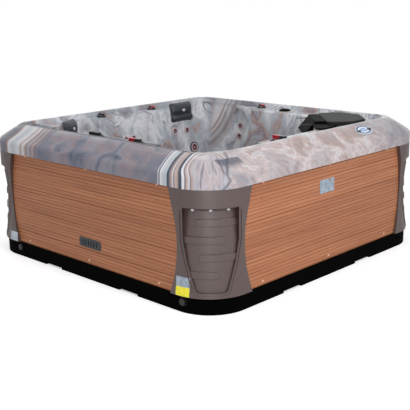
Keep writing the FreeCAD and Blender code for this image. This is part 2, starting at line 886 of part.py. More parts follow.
def add_pattern(body, kind, name, feature, occurrences, **settings):
    pattern = body.newObject(f"PartDesign::{kind}", f"{body.Name}_{name}")
    pattern.Originals = [feature]
    for key, setting in settings.items():
        setattr(pattern, key, setting)
    bind(pattern, Occurrences=occurrences)
    body.Tip = pattern
    doc.recompute()
    return pattern


def add_revolution(body, name, points):
    """Turned form about the body's Z axis through (radius, level) formulas."""
    sketch = new_sketch(body, f"{name}_outline", "XZ_Plane")
    draw_outline(sketch, points)
    feature = body.newObject("PartDesign::Revolution", f"{body.Name}_{name}")
    feature.Profile = sketch
    feature.ReferenceAxis = (sketch, ["V_Axis"])
    feature.Angle = 360
    doc.recompute()
    return feature


def add_edge_finish(body, kind, name, edges, size):
    """Fillet or chamfer on the edges that a test picks."""
    base = body.Tip
    names = [f"Edge{number}" for number, edge in enumerate(base.Shape.Edges, start=1) if edges(edge)]
    finish = body.newObject(f"PartDesign::{kind}", f"{body.Name}_{name}")
    finish.Base = (base, names)
    bind(finish, **{"Radius" if kind == "Fillet" else "Size": size})
    doc.recompute()
    return finish


def is_upright(edge):
    first, last = edge.Vertexes[0].Point, edge.Vertexes[-1].Point
    return abs(first.z - last.z) > S.cut_overrun and (first - last).cross(UP).Length < S.level_tolerance


def at_level(level):
    """Test for edges that lie at one level of a body."""
    return lambda edge: all(abs(vertex.Z - level) < S.level_tolerance for vertex in edge.Vertexes)


def turned_body(name, points, placement=None):
    body = new_body(name, placement)
    add_revolution(body, "turned", points)
    return body


# Plain pieces and groups

def new_box(name, size, corner):
    """Box from three formulas for its size and three for its lower corner."""
    item = doc.addObject("Part::Box", name)
    bind(item, Length=size[0], Width=size[1], Height=size[2])
    return bind(item, Placement__Base__x=corner[0], Placement__Base__y=corner[1], Placement__Base__z=corner[2])


def new_rod(name, radius, length, foot, direction=None):
    """Round rod from its foot along a direction."""
    item = doc.addObject("Part::Cylinder", name)
    if direction is not None:
        item.Placement = Placement(Vector(), Rotation(UP, Vector(*direction)))
    bind(item, Radius=radius, Height=length)
    return bind(item, Placement__Base__x=foot[0], Placement__Base__y=foot[1], Placement__Base__z=foot[2])


def join(name, pieces):
    item = doc.addObject("Part::MultiFuse", name)
    item.Shapes = pieces
    return item


def cut(name, base, tool):
    item = doc.addObject("Part::Cut", name)
    item.Base = base
    item.Tool = tool
    return item


def group(name, pieces, placement=None):
    item = doc.addObject("Part::Compound", name)
    item.Links = pieces
    if placement is not None:
        item.Placement = placement
    return item


def round_the_tub(name, build, first_angle=0):
    """The pieces of one side or corner, made four times and turned round the middle."""
    sides = []
    for number, angle in enumerate(QUARTERS, start=1):
        placement = Placement(Vector(), Rotation(UP, first_angle + angle))
        sides.append(group(f"{name}_side_{number}", build(f"{name}_{number}"), placement))
    return group(name, sides)


# Base pan: a tray with a thick edge, lift-truck notches and two drain pockets

def base_pan():
    body = new_body("base_pan")
    sketch = new_sketch(body, "outline", "XY_Plane")
    draw_rounded_square(sketch, "base_half", "base_corner_radius")
    add_feature(body, "Pad", "slab", sketch, "base_height")
    sketch = new_sketch(body, "tray_outline", "XY_Plane", "base_height")
    draw_rounded_square(sketch, "(base_half - base_wall)", "(base_corner_radius - base_wall)")
    add_feature(body, "Pocket", "tray", sketch, "base_height - base_floor")
    sketch = new_sketch(body, "notch_outline", "XZ_Plane", "base_half")
    for side in ("-", ""):
        middle = f"{side}fork_notch_offset"
        left, right = f"{middle} - fork_notch_width / 2", f"{middle} + fork_notch_width / 2"
        draw_rectangle(sketch, left, "-cut_overrun", right, "fork_notch_height")
    notches = add_feature(body, "Pocket", "fork_notches", sketch, "fork_notch_depth")
    axis = (origin_item(body, "Z_Axis"), [""])
    add_pattern(body, "PolarPattern", "notches_all_round", notches, str(len(QUARTERS)), Axis=axis)
    for name, radius, depth in (("pockets", "drain_pocket_radius", "drain_pocket_depth"),
                                ("bores", "drain_bore_radius", "base_wall + cut_overrun")):
        sketch = new_sketch(body, f"{name}_outline", "XZ_Plane", "base_half")
        for place in ("drain_left_at", "drain_right_at"):
            draw_circle(sketch, radius, place, "drain_level")
        add_feature(body, "Pocket", name, sketch, depth)
    return body


node(base_pan())


# Cabinet panels: bowed side edges, plank grooves and screw holes

PANEL_TOP = "cabinet_height + panel_tuck"
PANEL_FACE = "rim_half - panel_inset"
SCREW_LEVELS = ("screw_edge", "cabinet_height - screw_top_gap")


def draw_panel_outline(sketch):
    """Level top and bottom with sides that bow outwards as arcs."""
    half, low, high, bulge = S.panel_end_half, S.base_height, S.base_height + value(PANEL_TOP), S.panel_side_bulge
    middle = (low + high) / 2
    sketch.addGeometry(Part.LineSegment(Vector(-half, low, 0), Vector(half, low, 0)))
    sketch.addGeometry(Part.ArcOfCircle(Vector(half, low, 0), Vector(half + bulge, middle, 0),
                                        Vector(half, high, 0)))
    sketch.addGeometry(Part.LineSegment(Vector(half, high, 0), Vector(-half, high, 0)))
    sketch.addGeometry(Part.ArcOfCircle(Vector(-half, high, 0), Vector(-half - bulge, middle, 0),
                                        Vector(-half, low, 0)))
    for side in range(4):
        sketch.addConstraint(Sketcher.Constraint("Coincident", side, 2, (side + 1) % 4, 1))
    top = f"base_height + {PANEL_TOP}"
    fix_point(sketch, 0, 1, "-panel_end_half", "base_height")
    fix_point(sketch, 0, 2, "panel_end_half", "base_height")
    fix_point(sketch, 2, 1, "panel_end_half", top)
    fix_point(sketch, 2, 2, "-panel_end_half", top)
    radius = f"(({PANEL_TOP}) ^ 2 / 4 + panel_side_bulge ^ 2) / (2 * panel_side_bulge)"
    for side in (1, 3):
        index = sketch.addConstraint(Sketcher.Constraint("Radius", side, value(radius)))
        bind(sketch, **{f"Constraints[{index}]": radius})


def cut_lines(body, kind, first, count, pitch):
    """Level V-shaped cuts over the whole length of a panel's face."""
    sketch = new_sketch(body, f"{kind}_outline", "YZ_Plane")
    level, face = f"base_height + {first}", f"-({PANEL_FACE})"
    draw_outline(sketch, [
        (face, f"{level} - {kind}_width / 2"),
        (f"{face} + {kind}_depth", level),
        (face, f"{level} + {kind}_width / 2"),
        (f"{face} - {kind}_depth", level),
    ])
    length = "2 * (panel_end_half + panel_side_bulge + cut_overrun)"
    line = add_feature(body, "Pocket", kind, sketch, length, Midplane=True)
    up = (origin_item(body, "Z_Axis"), [""])
    lines = add_pattern(body, "LinearPattern", f"{kind}s", line, count, Direction=up, Mode="Spacing")
    bind(lines, Offset=pitch)
    doc.recompute()


def cabinet_panel(name, angle, vent):
    body = new_body(name, Placement(Vector(), Rotation(UP, angle)))
    sketch = new_sketch(body, "outline", "XZ_Plane", f"{PANEL_FACE} - panel_thickness")
    draw_panel_outline(sketch)
    add_feature(body, "Pad", "board", sketch, "panel_thickness")
    cut_lines(body, "reed", "first_reed", "reed_count", "reed_pitch")
    cut_lines(body, "groove", "first_groove", "groove_count", "plank_pitch")
    sketch = new_sketch(body, "hole_outline", "XZ_Plane", PANEL_FACE)
    for level in SCREW_LEVELS:
        for along in ("-screw_pitch", "0", "screw_pitch"):
            draw_circle(sketch, "screw_shank_radius + screw_clearance", along, f"base_height + {level}")
    if vent:
        width, height = "vent_width / 2 - vent_lip + screw_clearance", "vent_height / 2 - vent_lip + screw_clearance"
        draw_rectangle(sketch, f"vent_at - ({width})", f"vent_level - ({height})",
                       f"vent_at + ({width})", f"vent_level + ({height})")
    add_feature(body, "Pocket", "holes", sketch, "panel_thickness")
    return body


for side, angle in zip(("front", "right", "rear", "left"), QUARTERS):
    node(cabinet_panel(f"{side}_panel", angle, vent=side == "front"))


def side_screws(name):
    """Headed screws that hold one panel to the rails behind it."""
    screws = []
    for row, level in enumerate(SCREW_LEVELS):
        for column, along in enumerate(("-screw_pitch", "0", "screw_pitch")):
            height = f"base_height + {level}"
            face = f"-({PANEL_FACE})"
            inward, outward = (0, 1, 0), (0, -1, 0)
            stem = f"{name}_{row}_{column}"
            shank_length = "panel_thickness + screw_bite"
            shank = new_rod(f"{stem}_shank", "screw_shank_radius", shank_length, (along, face, height), inward)
            head = new_rod(f"{stem}_head", "screw_head_radius", "screw_head_height",
                           (along, face, height), outward)
            screws.append(join(stem, [shank, head]))
    return screws


node(round_the_tub("panel_screws", side_screws))


# Timber frame inside the cabinet

RAIL_TOP = (
    "(base_height + cabinet_height + skirt_height"
    " + (panel_inset + panel_thickness) * rim_slope_rise / rim_slope_run"
    " - shell_wall * sqrt(1 + (rim_slope_rise / rim_slope_run) ^ 2) - seat_gap)"
)
RAIL_FACE = f"({PANEL_FACE} - panel_thickness)"


def side_rails(name):
    """Bottom and top rail of one side, each with pilot holes for the panel's screws."""
    rails = []
    places = (("bottom", "base_floor", "bottom_rail_height", SCREW_LEVELS[0]),
              ("top", f"{RAIL_TOP} - top_rail_height", "top_rail_height", SCREW_LEVELS[1]))
    for place, low, height, level in places:
        stem = f"{name}_{place}"
        beam = new_box(f"{stem}_beam", ("2 * rail_half", "rail_depth", height),
                       ("-rail_half", f"-{RAIL_FACE}", low))
        radius = "screw_shank_radius + screw_clearance"
        holes = [
            new_rod(f"{stem}_pilot_{column}", radius, "screw_bite + cut_overrun",
                    (along, f"-{RAIL_FACE} - cut_overrun / 2", f"base_height + {level}"), (0, 1, 0))
            for column, along in enumerate(("-screw_pitch", "0", "screw_pitch"))
        ]
        rails.append(cut(stem, beam, group(f"{stem}_pilots", holes)))
    return rails


def side_posts(name):
    low = "base_floor + bottom_rail_height"
    height = f"{RAIL_TOP} - top_rail_height - ({low})"
    posts = []
    for number, centre in enumerate(("-end_post_at", "-mid_post_at", "mid_post_at", "end_post_at")):
        corner = (f"{centre} - post_width / 2", f"-{RAIL_FACE}", low)
        posts.append(new_box(f"{name}_post_{number}", ("post_width", "rail_depth", height), corner))
    return posts


def corner_braces(name):
    """Short boards across one corner: on the bottom rails and under the top rails."""
    braces = []
    levels = ("base_floor + bottom_rail_height", f"{RAIL_TOP} - top_rail_height - brace_height")
    for number, low in enumerate(levels):
        size = ("brace_width", "brace_length", "brace_height")
        corner = ("brace_reach - brace_width / 2", "-brace_length / 2", low)
        braces.append(new_box(f"{name}_brace_{number}", size, corner))
    return braces


def side_board(name):
    size = ("2 * board_half", "board_thickness", "board_high - board_low")
    corner = ("-board_half", f"-{RAIL_FACE} + rail_depth", "board_low")
    return [new_box(f"{name}_board", size, corner)]


node(round_the_tub("frame_rails", side_rails))
node(round_the_tub("frame_posts", side_posts))
node(round_the_tub("corner_braces", corner_braces, first_angle=45))
node(round_the_tub("insulation_boards", side_board))


# Vent grille in the front panel

def vent_grille():
    body = new_body("vent_grille")
    sketch = new_sketch(body, "flange_outline", "XZ_Plane", PANEL_FACE)
    draw_rectangle(sketch, "vent_at - vent_width / 2", "vent_level - vent_height / 2",
                   "vent_at + vent_width / 2", "vent_level + vent_height / 2")
    add_feature(body, "Pad", "flange", sketch, "vent_flange")
    add_edge_finish(body, "Fillet", "corners", lambda edge: edge.BoundBox.YLength > S.vent_flange / 2,
                    "vent_corner_radius")
    face = S.rim_half - S.panel_inset + S.vent_flange
    outer = lambda edge: all(abs(vertex.Y + face) < S.level_tolerance for vertex in edge.Vertexes)
    add_edge_finish(body, "Fillet", "rounded_face", outer, "vent_flange / 2")
    sketch = new_sketch(body, "spigot_outline", "XZ_Plane", f"{PANEL_FACE} - panel_thickness")
    width, height = "vent_width / 2 - vent_lip", "vent_height / 2 - vent_lip"
    draw_rectangle(sketch, f"vent_at - ({width})", f"vent_level - ({height})",
                   f"vent_at + {width}", f"vent_level + {height}")
    add_feature(body, "Pad", "spigot", sketch, "panel_thickness")
    sketch = new_sketch(body, "slot_outline", "XZ_Plane", f"{PANEL_FACE} + vent_flange")
    left = "vent_at - vent_slot_pitch * (vent_slot_count - 1) / 2 - vent_slot_width / 2"
    reach = "vent_height / 2 - 1.5 * vent_lip"
    draw_rectangle(sketch, left, f"vent_level - ({reach})", f"{left} + vent_slot_width", f"vent_level + {reach}")
    slot = add_feature(body, "Pocket", "slot", sketch, "vent_flange + panel_thickness + cut_overrun")
    along = (origin_item(body, "X_Axis"), [""])
    slots = add_pattern(body, "LinearPattern", "slots", slot, "vent_slot_count", Direction=along, Mode="Spacing")
    bind(slots, Offset="vent_slot_pitch")
    return body


node(vent_grille())


# Drain valves in the base: a fixed body with a spigot, and a cap that turns on it

DRAIN_SEAT = "(base_half - drain_pocket_depth)"


def drain_placement(place):
    """Z points out of the front of the base."""
    origin = Vector(value(place), -value(DRAIN_SEAT), S.drain_level)
    return Placement(origin, Rotation(Vector(1, 0, 0), 90))


def drain_valve(name, place):
    spigot = "drain_flange_height + drain_spigot_height"
    tail = "drain_bore_radius - seat_gap"
    depth = "-(base_wall - drain_pocket_depth)"
    return turned_body(name, [
        ("0", depth), (tail, depth), (tail, "0"), ("drain_flange_radius", "0"),
        ("drain_flange_radius", "drain_flange_height"), ("drain_spigot_radius", "drain_flange_height"),
        ("drain_spigot_radius", spigot), ("0", spigot),
    ], drain_placement(place))


def drain_cap(name, place):
    low = "drain_flange_height + running_gap"
    high = f"{low} + drain_cap_height"
    bore = "drain_spigot_radius + running_gap"
    ceiling = "drain_flange_height + drain_spigot_height + running_gap"
    body = turned_body(name, [
        ("0", ceiling), (bore, ceiling), (bore, low), ("drain_cap_radius", low),
        ("drain_cap_radius", f"{high} - drain_cap_rib"), ("drain_cap_radius - drain_cap_rib", high), ("0", high),
    ], drain_placement(place))
    sketch = new_sketch(body, "rib_outline", "XY_Plane", low)
    draw_rectangle(sketch, "drain_cap_radius - drain_cap_rib", "-drain_cap_rib",
                   "drain_cap_radius + drain_cap_rib", "drain_cap_rib")
    rib = add_feature(body, "Pad", "rib", sketch, "drain_cap_height - 2 * drain_cap_rib")
    add_pattern(body, "PolarPattern", "ribs", rib, "drain_cap_rib_count",
                Axis=(origin_item(body, "Z_Axis"), [""]))
    return body


DRAINS = (("left", "drain_left_at"), ("right", "drain_right_at"))
node(group("drain_valves", [drain_valve(f"drain_valve_{side}", place) for side, place in DRAINS]))
for side, place in DRAINS:
    node(drain_cap(f"drain_cap_{side}", place))


# Corner mouldings: a brow under the rim that runs down into a hollow body with a wide foot,
# and a shield recess with a beaded border, stepped ribs and three lights

BROW_TOP = LIP_LEVEL - S.shell_clearance
BROW_LOW = LIP_LEVEL - S.brow_height
SHIELD_TOP = BROW_LOW - S.brow_slant
CORNER = Vector(CORNER_AT, -CORNER_AT, 0)
DIAGONAL = frame_at(CORNER, Vector(1, 1, 0), Vector(1, -1, 0))
LEDGE_RADIUS = S.rim_corner_radius - S.moulding_depth


def corner_outline(points, arc_at=None):
    """Closed wire beside the corner's axis through (radius, level) points; one of them may bend an arc."""
    places = [Vector(CORNER_AT, -CORNER_AT - radius, level) for radius, level in points]
    edges = []
    for index, place in enumerate(places):
        following = places[(index + 1) % len(places)]
        if index == arc_at:
            edges.append(Part.Arc(places[index - 1], place, following).toShape())
        elif index + 1 != arc_at:
            edges.append(Part.LineSegment(place, following).toShape())
    return Part.Wire(edges)


def swept_corner(outline):
    """An upright outline swept straight, round the corner and straight again."""
    face = Part.Face(outline)
    run = CORNER_AT - S.panel_end_half + S.cut_overrun
    end_face = face.copy()
    end_face.rotate(CORNER, UP, 90)
    pieces = [face.revolve(CORNER, UP, 90), face.extrude(Vector(-run, 0, 0)), end_face.extrude(Vector(0, run, 0))]
    return pieces[0].multiFuse(pieces[1:]).removeSplitter()


def moulding_body(grow, low, high):
    """Everything inside the moulding's outer face, which is moved outward by grow."""
    brow = S.rim_corner_radius + grow
    points = [
        (0, low), (S.foot_radius + grow, low), (S.waist_radius + grow, S.base_height + S.waist_height),
        (brow, BROW_LOW), (brow, high), (0, high),
    ]
    return swept_corner(corner_outline(points, arc_at=2))


def moulding_hollow():
    """The moulding's inside, which leaves a ledge round its top and its foot."""
    wall = S.moulding_wall
    body = moulding_body(-wall, S.base_height + wall, BROW_TOP - wall)
    low, high = S.base_height - S.cut_overrun, BROW_TOP + S.cut_overrun
    core = swept_corner(corner_outline([(0, low), (LEDGE_RADIUS, low), (LEDGE_RADIUS, high), (0, high)]))
    return body.fuse(core)


def upright_prism(corners):
    """Prism along the corner's diagonal from an outline of (across, level, radius) corners."""
    face = Part.Face(rounded_outline(corners, 0))
    return placed(face.extrude(UP * (2 * S.rim_corner_radius)), DIAGONAL)


def recess_core(grow):
    """Floor of the shield recess as a turned body, leaning out at the foot and under the brow."""
    brow, top = S.rim_corner_radius + grow, CREST_LEVEL
    outline = corner_outline([
        (0, S.base_height), (S.recess_foot_radius + grow, S.base_height),
        (S.recess_top_radius + grow, SHIELD_TOP - min(grow, 0) / 2),
        (brow, BROW_LOW - min(grow, 0)), (brow, top), (0, top),
    ])
    return Part.Face(outline).revolve(CORNER, UP, 360)


def shield_corners(grow):
    heights = (
        (S.shield_foot_half, S.shield_foot_height), (S.shield_waist_half, S.shield_waist_height),
        (S.shield_half_width, S.shield_shoulder_height), (S.shield_half_width, BROW_LOW - S.base_height),
    )
    right = [(half, S.base_height + height) for half, height in heights]
    left = [(-half, level) for half, level in reversed(right)]
    radii = [S.shield_edge_radius] * (len(right) - 1) + [S.shield_top_radius]
    return inset_corners(with_radius(right + left, radii + radii[::-1]), -grow)


def shield_half_at(level):
    """Half width of the shield at one level."""
    height = level - S.base_height
    if height > S.shield_waist_height:
        share = min(1, (height - S.shield_waist_height) / (S.shield_shoulder_height - S.shield_waist_height))
        return S.shield_waist_half + share * (S.shield_half_width - S.shield_waist_half)
    share = (height - S.shield_foot_height) / (S.shield_waist_height - S.shield_foot_height)
    return S.shield_foot_half + share * (S.shield_waist_half - S.shield_foot_half)


def shield_recess(grow):
    """The recess with its walls moved outward by grow and its floor moved inward by it."""
    return upright_prism(shield_corners(grow)).cut(recess_core(-grow))


def shield_beads():
    """Two raised lines that follow the recess down both sides and round its foot."""
    below_brow = Part.makeCylinder(2 * S.rim_corner_radius, SHIELD_TOP, CORNER, UP)
    skin = moulding_body(S.bead_rise, S.base_height, BROW_TOP).common(below_brow).cut(recess_core(0))
    beads = []
    for inner in (0, S.bead_width + S.bead_gap):
        outer_edge = upright_prism(shield_corners(inner + S.bead_width))
        beads.append(skin.common(outer_edge.cut(upright_prism(shield_corners(inner)))))
    return beads


def on_rib_face(point):
    """Whether a point lies on the ribs' outer face."""
    share = (point.z - S.base_height) / (SHIELD_TOP - S.base_height)
    radius = S.recess_foot_radius + share * (S.recess_top_radius - S.recess_foot_radius) + S.rib_rise
    return Vector(point.x - CORNER.x, point.y - CORNER.y, 0).Length > radius - S.level_tolerance


def shield_ribs():
    """Crowned ribs that leave the recess's sides in turn and stop short of the other side, each end slanted."""
    band = recess_core(S.rib_rise).cut(recess_core(-S.moulding_wall / 2))
    ribs = []
    for number in range(int(S.rib_count)):
        low = S.base_height + S.rib_first + number * S.rib_pitch
        high = low + S.rib_height
        free_end = S.rib_short - shield_half_at((low + high) / 2)
        edge = S.shield_half_width + S.cut_overrun
        points = [(free_end, low), (edge, low), (edge, high), (free_end + S.rib_slant, high)]
        if number % 2 == 0:
            points = [(-across, level) for across, level in reversed(points)]
        rib = upright_prism(with_radius(points, S.rib_corner)).common(band)
        rims = [edge for edge in rib.Edges if all(on_rib_face(point) for point in edge.discretize(3))]
        ribs.append(rib.makeFillet(S.rib_round, rims))
    return ribs


def panel_prism(grow, back):
    """The front panel's outline as a block that reaches back into the tub."""
    low, high = S.base_height, S.base_height + value(PANEL_TOP)
    middle, half = (low + high) / 2, S.panel_end_half + grow
    front = -2 * S.rim_half

    def point(across, level):
        return Vector(across, front, level)

    edges = [
        Part.LineSegment(point(-half, low), point(half, low)).toShape(),
        Part.Arc(point(half, low), point(half + S.panel_side_bulge, middle), point(half, high)).toShape(),
        Part.LineSegment(point(half, high), point(-half, high)).toShape(),
        Part.Arc(point(-half, high), point(-half - S.panel_side_bulge, middle), point(-half, low)).toShape(),
    ]
    return Part.Face(Part.Wire(edges)).extrude(Vector(0, -back - front, 0))


def light_placements():
    """Z points out of the brow's slanted underside at each of its three lights."""
    radius = (S.rim_corner_radius + S.recess_top_radius) / 2
    step = math.degrees(S.light_pitch / radius)
    out = Placement(Vector(radius, 0, BROW_LOW - S.brow_slant / 2), Rotation(Vector(0, 1, 0), 90 + S.light_tilt))
    return [Placement(CORNER, Rotation(UP, turn * step - 45)).multiply(out) for turn in (-1, 0, 1)]


def corner_moulding():
    body = moulding_body(0, S.base_height, BROW_TOP)
    outer = body.cut(shield_recess(0)).multiFuse(shield_ribs() + shield_beads()).removeSplitter()
    end_walls = panel_prism(S.moulding_gap + S.moulding_wall, PANEL_HALF - S.panel_thickness + S.seat_gap)
    hollow = moulding_hollow().cut(shield_recess(S.moulding_wall)).cut(end_walls).cut(turned(end_walls, 90))
    front = panel_prism(S.moulding_gap, CORNER_AT)
    moulding = outer.cut(hollow).cut(front).cut(turned(front, 90))
    for placement in light_placements():
        hole = cylinder(S.light_radius + S.seat_gap, -S.light_depth, S.light_depth)
        moulding = moulding.cut(placed(hole, placement))
    return max(moulding.Solids, key=lambda solid: solid.Volume)


CORNER_NAMES = ("front_right", "rear_right", "rear_left", "front_left")
moulding_shape = corner_moulding()
for name, angle in zip(CORNER_NAMES, QUARTERS):
    node(solid_feature(f"corner_{name}", moulding_shape, Placement(Vector(), Rotation(UP, angle))))

light = cylinder(S.light_radius, -S.light_depth, S.light_height)
lights = [turned(placed(light, placement), angle) for angle in QUARTERS for placement in light_placements()]
node(solid_feature("corner_lights", Part.makeCompound(lights)))


# Rotary controls on the deck: a ring, a knob with a lever, and the valve under the deck

def control_ring(name, frame, kind, knob):
    outer, high = f"{kind}_radius", f"{kind}_ring_height"
    return turned_body(name, [
        (f"{knob} + running_gap", "0"), (outer, "0"), (outer, f"{high} - control_edge"),
        (f"{outer} - control_edge", high), (f"{knob} + running_gap", high),
    ], frame)


def control_valve(name, frame, kind):
    outer, stem = f"{kind}_valve_radius", f"{kind}_stem_radius + running_gap"
    low, bore = f"-shell_wall - {kind}_valve_height", "-shell_wall - stem_reach - running_gap"
    return turned_body(name, [
        ("0", low), (outer, low), (outer, "-shell_wall"), (stem, "-shell_wall"), (stem, bore), ("0", bore),
    ], frame)


def control_knob(name, frame, kind):
    outer, stem, high = f"{kind}_knob_radius", f"{kind}_stem_radius", f"{kind}_knob_height"
    low = "-shell_wall - stem_reach"
    body = turned_body(name, [
        ("0", low), (stem, low), (stem, "running_gap"), (outer, "running_gap"),
        (outer, f"{high} - knob_taper"), (f"{outer} - knob_taper", high), ("0", high),
    ], frame)
    sketch = new_sketch(body, "lever_outline", "XY_Plane", high)
    length, width = f"({outer} - knob_taper)", f"{kind}_lever_width / 2"
    draw_rectangle(sketch, f"-{length}", f"-{width}", length, width)
    add_feature(body, "Pad", "lever", sketch, f"{kind}_lever_height")
    top = frame.Base.z + value(f"{high} + {kind}_lever_height") - frame.Base.z
    add_edge_finish(body, "Fillet", "lever_round", at_level(top), "lever_round")
    return body


for kind, title, frames in (("control", "air_control", AIR_CONTROLS), ("diverter", "diverter", DIVERTERS)):
    numbered = list(enumerate(frames, start=1))
    knob = f"{kind}_knob_radius"
    node(group(f"{title}_rings", [control_ring(f"{title}_ring_{n}", frame, kind, knob) for n, frame in numbered]))
    node(group(f"{title}_valves", [control_valve(f"{title}_valve_{n}", frame, kind) for n, frame in numbered]))
    for number, frame in numbered:
        node(control_knob(f"{title}_knob_{number}", frame, kind))


# Jets: a face with a dished throat in front of the wall, and a body clamped behind it

def jet_face(name, frame, outer, seat):
    neck, throat = f"{outer} * jet_neck_share", f"{outer} * jet_throat_share"
    return turned_body(name, [
        (throat, "-jet_neck_length"), (neck, "-jet_neck_length"), (neck, seat), (outer, seat),
        (outer, "jet_face_height / 2"), (f"{outer} - jet_face_height / 2", "jet_face_height"),
        (neck, "jet_face_height"), (throat, "jet_face_height - jet_dish_depth"),
    ], frame)


def large_jet_face(name, frame):
    """Turning face with vanes across its throat."""
    body = jet_face(name, frame, "large_jet_radius", "seat_gap")
    sketch = new_sketch(body, "vane_outline", "XY_Plane", "-jet_neck_length")
    draw_rectangle(sketch, "0", "-jet_vane_width / 2",
                   "large_jet_radius * (jet_throat_share + jet_neck_share) / 2", "jet_vane_width / 2")
    vane = add_feature(body, "Pad", "vane", sketch, "jet_neck_length")
    add_pattern(body, "PolarPattern", "vanes", vane, "jet_vane_count", Axis=(origin_item(body, "Z_Axis"), [""]))
    return body


def jet_body(name, frame, outer):
    bore = f"({outer} * jet_neck_share + running_gap)"
    barrel, flange = f"({bore} + jet_body_wall)", f"{outer} * jet_neck_share + jet_flange_rim"
    low, shoulder = "(-shell_wall - jet_body_length)", "-shell_wall - jet_flange_height"
    body = turned_body(name, [
        ("0", low), (barrel, low), (barrel, shoulder), (flange, shoulder), (flange, "-shell_wall"),
        (bore, "-shell_wall"), (bore, f"{low} + jet_body_wall"), ("0", f"{low} + jet_body_wall"),
    ], frame)
    sketch = new_sketch(body, "port_outline", "YZ_Plane", f"{barrel} - jet_body_wall / 2")
    draw_circle(sketch, "jet_port_radius", "0", f"{low} / 2 - jet_flange_height")
    add_feature(body, "Pad", "port", sketch, "jet_port_reach + jet_body_wall / 2")
    return body


small_jets = list(enumerate(SMALL_JETS, start=1))
faces = [jet_face(f"small_jet_face_{n}", frame, "small_jet_radius", "0") for n, frame in small_jets]
node(group("small_jet_faces", faces))
jet_bodies = [jet_body(f"small_jet_body_{n}", frame, "small_jet_radius") for n, frame in small_jets]
jet_bodies += [jet_body(f"large_jet_body_{name}", frame, "large_jet_radius") for name, frame in LARGE_JETS]
node(group("jet_bodies", jet_bodies))
for name, frame in LARGE_JETS:
    node(large_jet_face(f"large_jet_face_{name}", frame))


# Headrest pillows: crowned cushions against the seat backs

PILLOW_PLACES = (
    ("far", FAR, 0.505, S.pillow_level),
    ("left", LEFT, 0.33, S.pillow_level),
    ("near", NEAR, 0.5, S.pillow_level - S.near_pillow_drop),
)
PILLOW_SECTION_SHARES = ((0, 0.9), (0.3, 1), (0.62, 0.96), (0.86, 0.8), (1, 0.5))


def pillow_form():
    wires = []
    for rise_share, size_share in PILLOW_SECTION_SHARES:
        width, height = S.pillow_width / 2, S.pillow_height / 2
        inset = min(width, height) * (1 - size_share)
        corners = [(width, -height), (width, height), (-width, height), (-width, -height)]
        corners = [(x - math.copysign(inset, x), y - math.copysign(inset, y)) for x, y in corners]
        radius = S.pillow_corner_radius * size_share
        wires.append(rounded_outline(with_radius(corners, radius), S.seat_gap + rise_share * S.pillow_thickness))
    return Part.makeLoft(wires, True, False)


for name, bay, along_share, level in PILLOW_PLACES:
    rise_share = (level - bay[1]) / (DECK_LEVEL - bay[1])
    node(solid_feature(f"headrest_pillow_{name}", pillow_form(), bay_frame(bay, along_share, rise_share)))


# Topside control: an oval bezel on the rim's slope with a sunk window and four keys

def topside_panel():
    oval = doc.addObject("Part::Ellipse", "topside_oval")
    bind(oval, MajorRadius="topside_length / 2", MinorRadius="topside_width / 2")
    bezel = doc.addObject("Part::Extrusion", "topside_bezel")
    bezel.Base, bezel.Solid, bezel.DirMode, bezel.Dir = oval, True, "Custom", UP
    bind(bezel, LengthFwd="topside_height")
    length, width = "topside_case_length", "topside_case_width"
    case = new_box("topside_case", (length, width, "topside_case_depth + topside_height / 2"),
                   (f"-{length} / 2", f"-{width} / 2", "-topside_case_depth"))
    window = new_box("topside_window", ("window_length", "window_width", "window_height + cut_overrun"),
                     ("-window_length / 2", "-window_width / 2", "topside_height - window_height"))
    depth = "(key_height - key_proud + key_travel + seat_gap)"
    holes = [new_rod(f"topside_key_hole_{n}", "key_radius + seat_gap", f"{depth} + cut_overrun",
                     (along, "0", f"topside_height - {depth}")) for n, along in enumerate(KEY_PLACES, start=1)]
    panel = cut("topside_panel", join("topside_block", [bezel, case]), group("topside_cuts", [window] + holes))
    panel.Placement = TOPSIDE
    return panel


KEY_PLACES = ("-key_outer_at", "-key_inner_at", "key_inner_at", "key_outer_at")
node(topside_panel())
for number, along in enumerate(KEY_PLACES, start=1):
    key = doc.addObject("Part::Cylinder", f"topside_key_{number}")
    bind(key, Radius="key_radius", Height="key_height")
    foot = Vector(value(along), 0, value("topside_height - key_height + key_proud"))
    key.Placement = TOPSIDE.multiply(Placement(foot, Rotation()))
    node(key)


# Deck speaker: a lit ring round a slotted centre

def deck_speaker():
    cone, outer, high = "speaker_cone_radius", "speaker_radius", "speaker_ring_height"
    body = turned_body("deck_speaker", [
        ("0", "-speaker_depth"), (cone, "-speaker_depth"), (cone, "0"), (outer, "0"), (outer, f"{high} / 2"),
        (f"{outer} - {high} / 2", high), (f"{cone} + speaker_step", high), (cone, f"{high} - speaker_step"),
        ("0", f"{high} - speaker_step"),
    ], SPEAKER)
    sketch = new_sketch(body, "slot_outline", "XY_Plane", high)
    first = "-speaker_slot_pitch * (speaker_slot_count - 1) / 2"
    reach = "speaker_cone_radius / 2"
    draw_rectangle(sketch, f"{first} - speaker_slot_width / 2", f"-{reach}",
                   f"{first} + speaker_slot_width / 2", reach)
    slot = add_feature(body, "Pocket", "slot", sketch, "3 * speaker_step")
    along = (origin_item(body, "X_Axis"), [""])
    slots = add_pattern(body, "LinearPattern", "slots", slot, "speaker_slot_count",
                        Direction=along, Mode="Spacing")
    bind(slots, Offset="speaker_slot_pitch")
    return body


node(deck_speaker())


# Skimmer filter in the right rear corner of the deck

DECK = "(base_height + cabinet_height + skirt_height + rim_slope_rise - deck_drop)"
FLANGE_TOP = f"({DECK} + skimmer_flange_height)"
HOOD_FRONT = "(filter_front + hood_setback)"
MOUTH_SILL = "(mouth_floor_level + bucket_wall)"
WEIR_AXIS_LEVEL = f"({MOUTH_SILL} + weir_gap + weir_thickness / 2)"
WEIR_LINE = "(filter_front + weir_setback + weir_thickness / 2)"


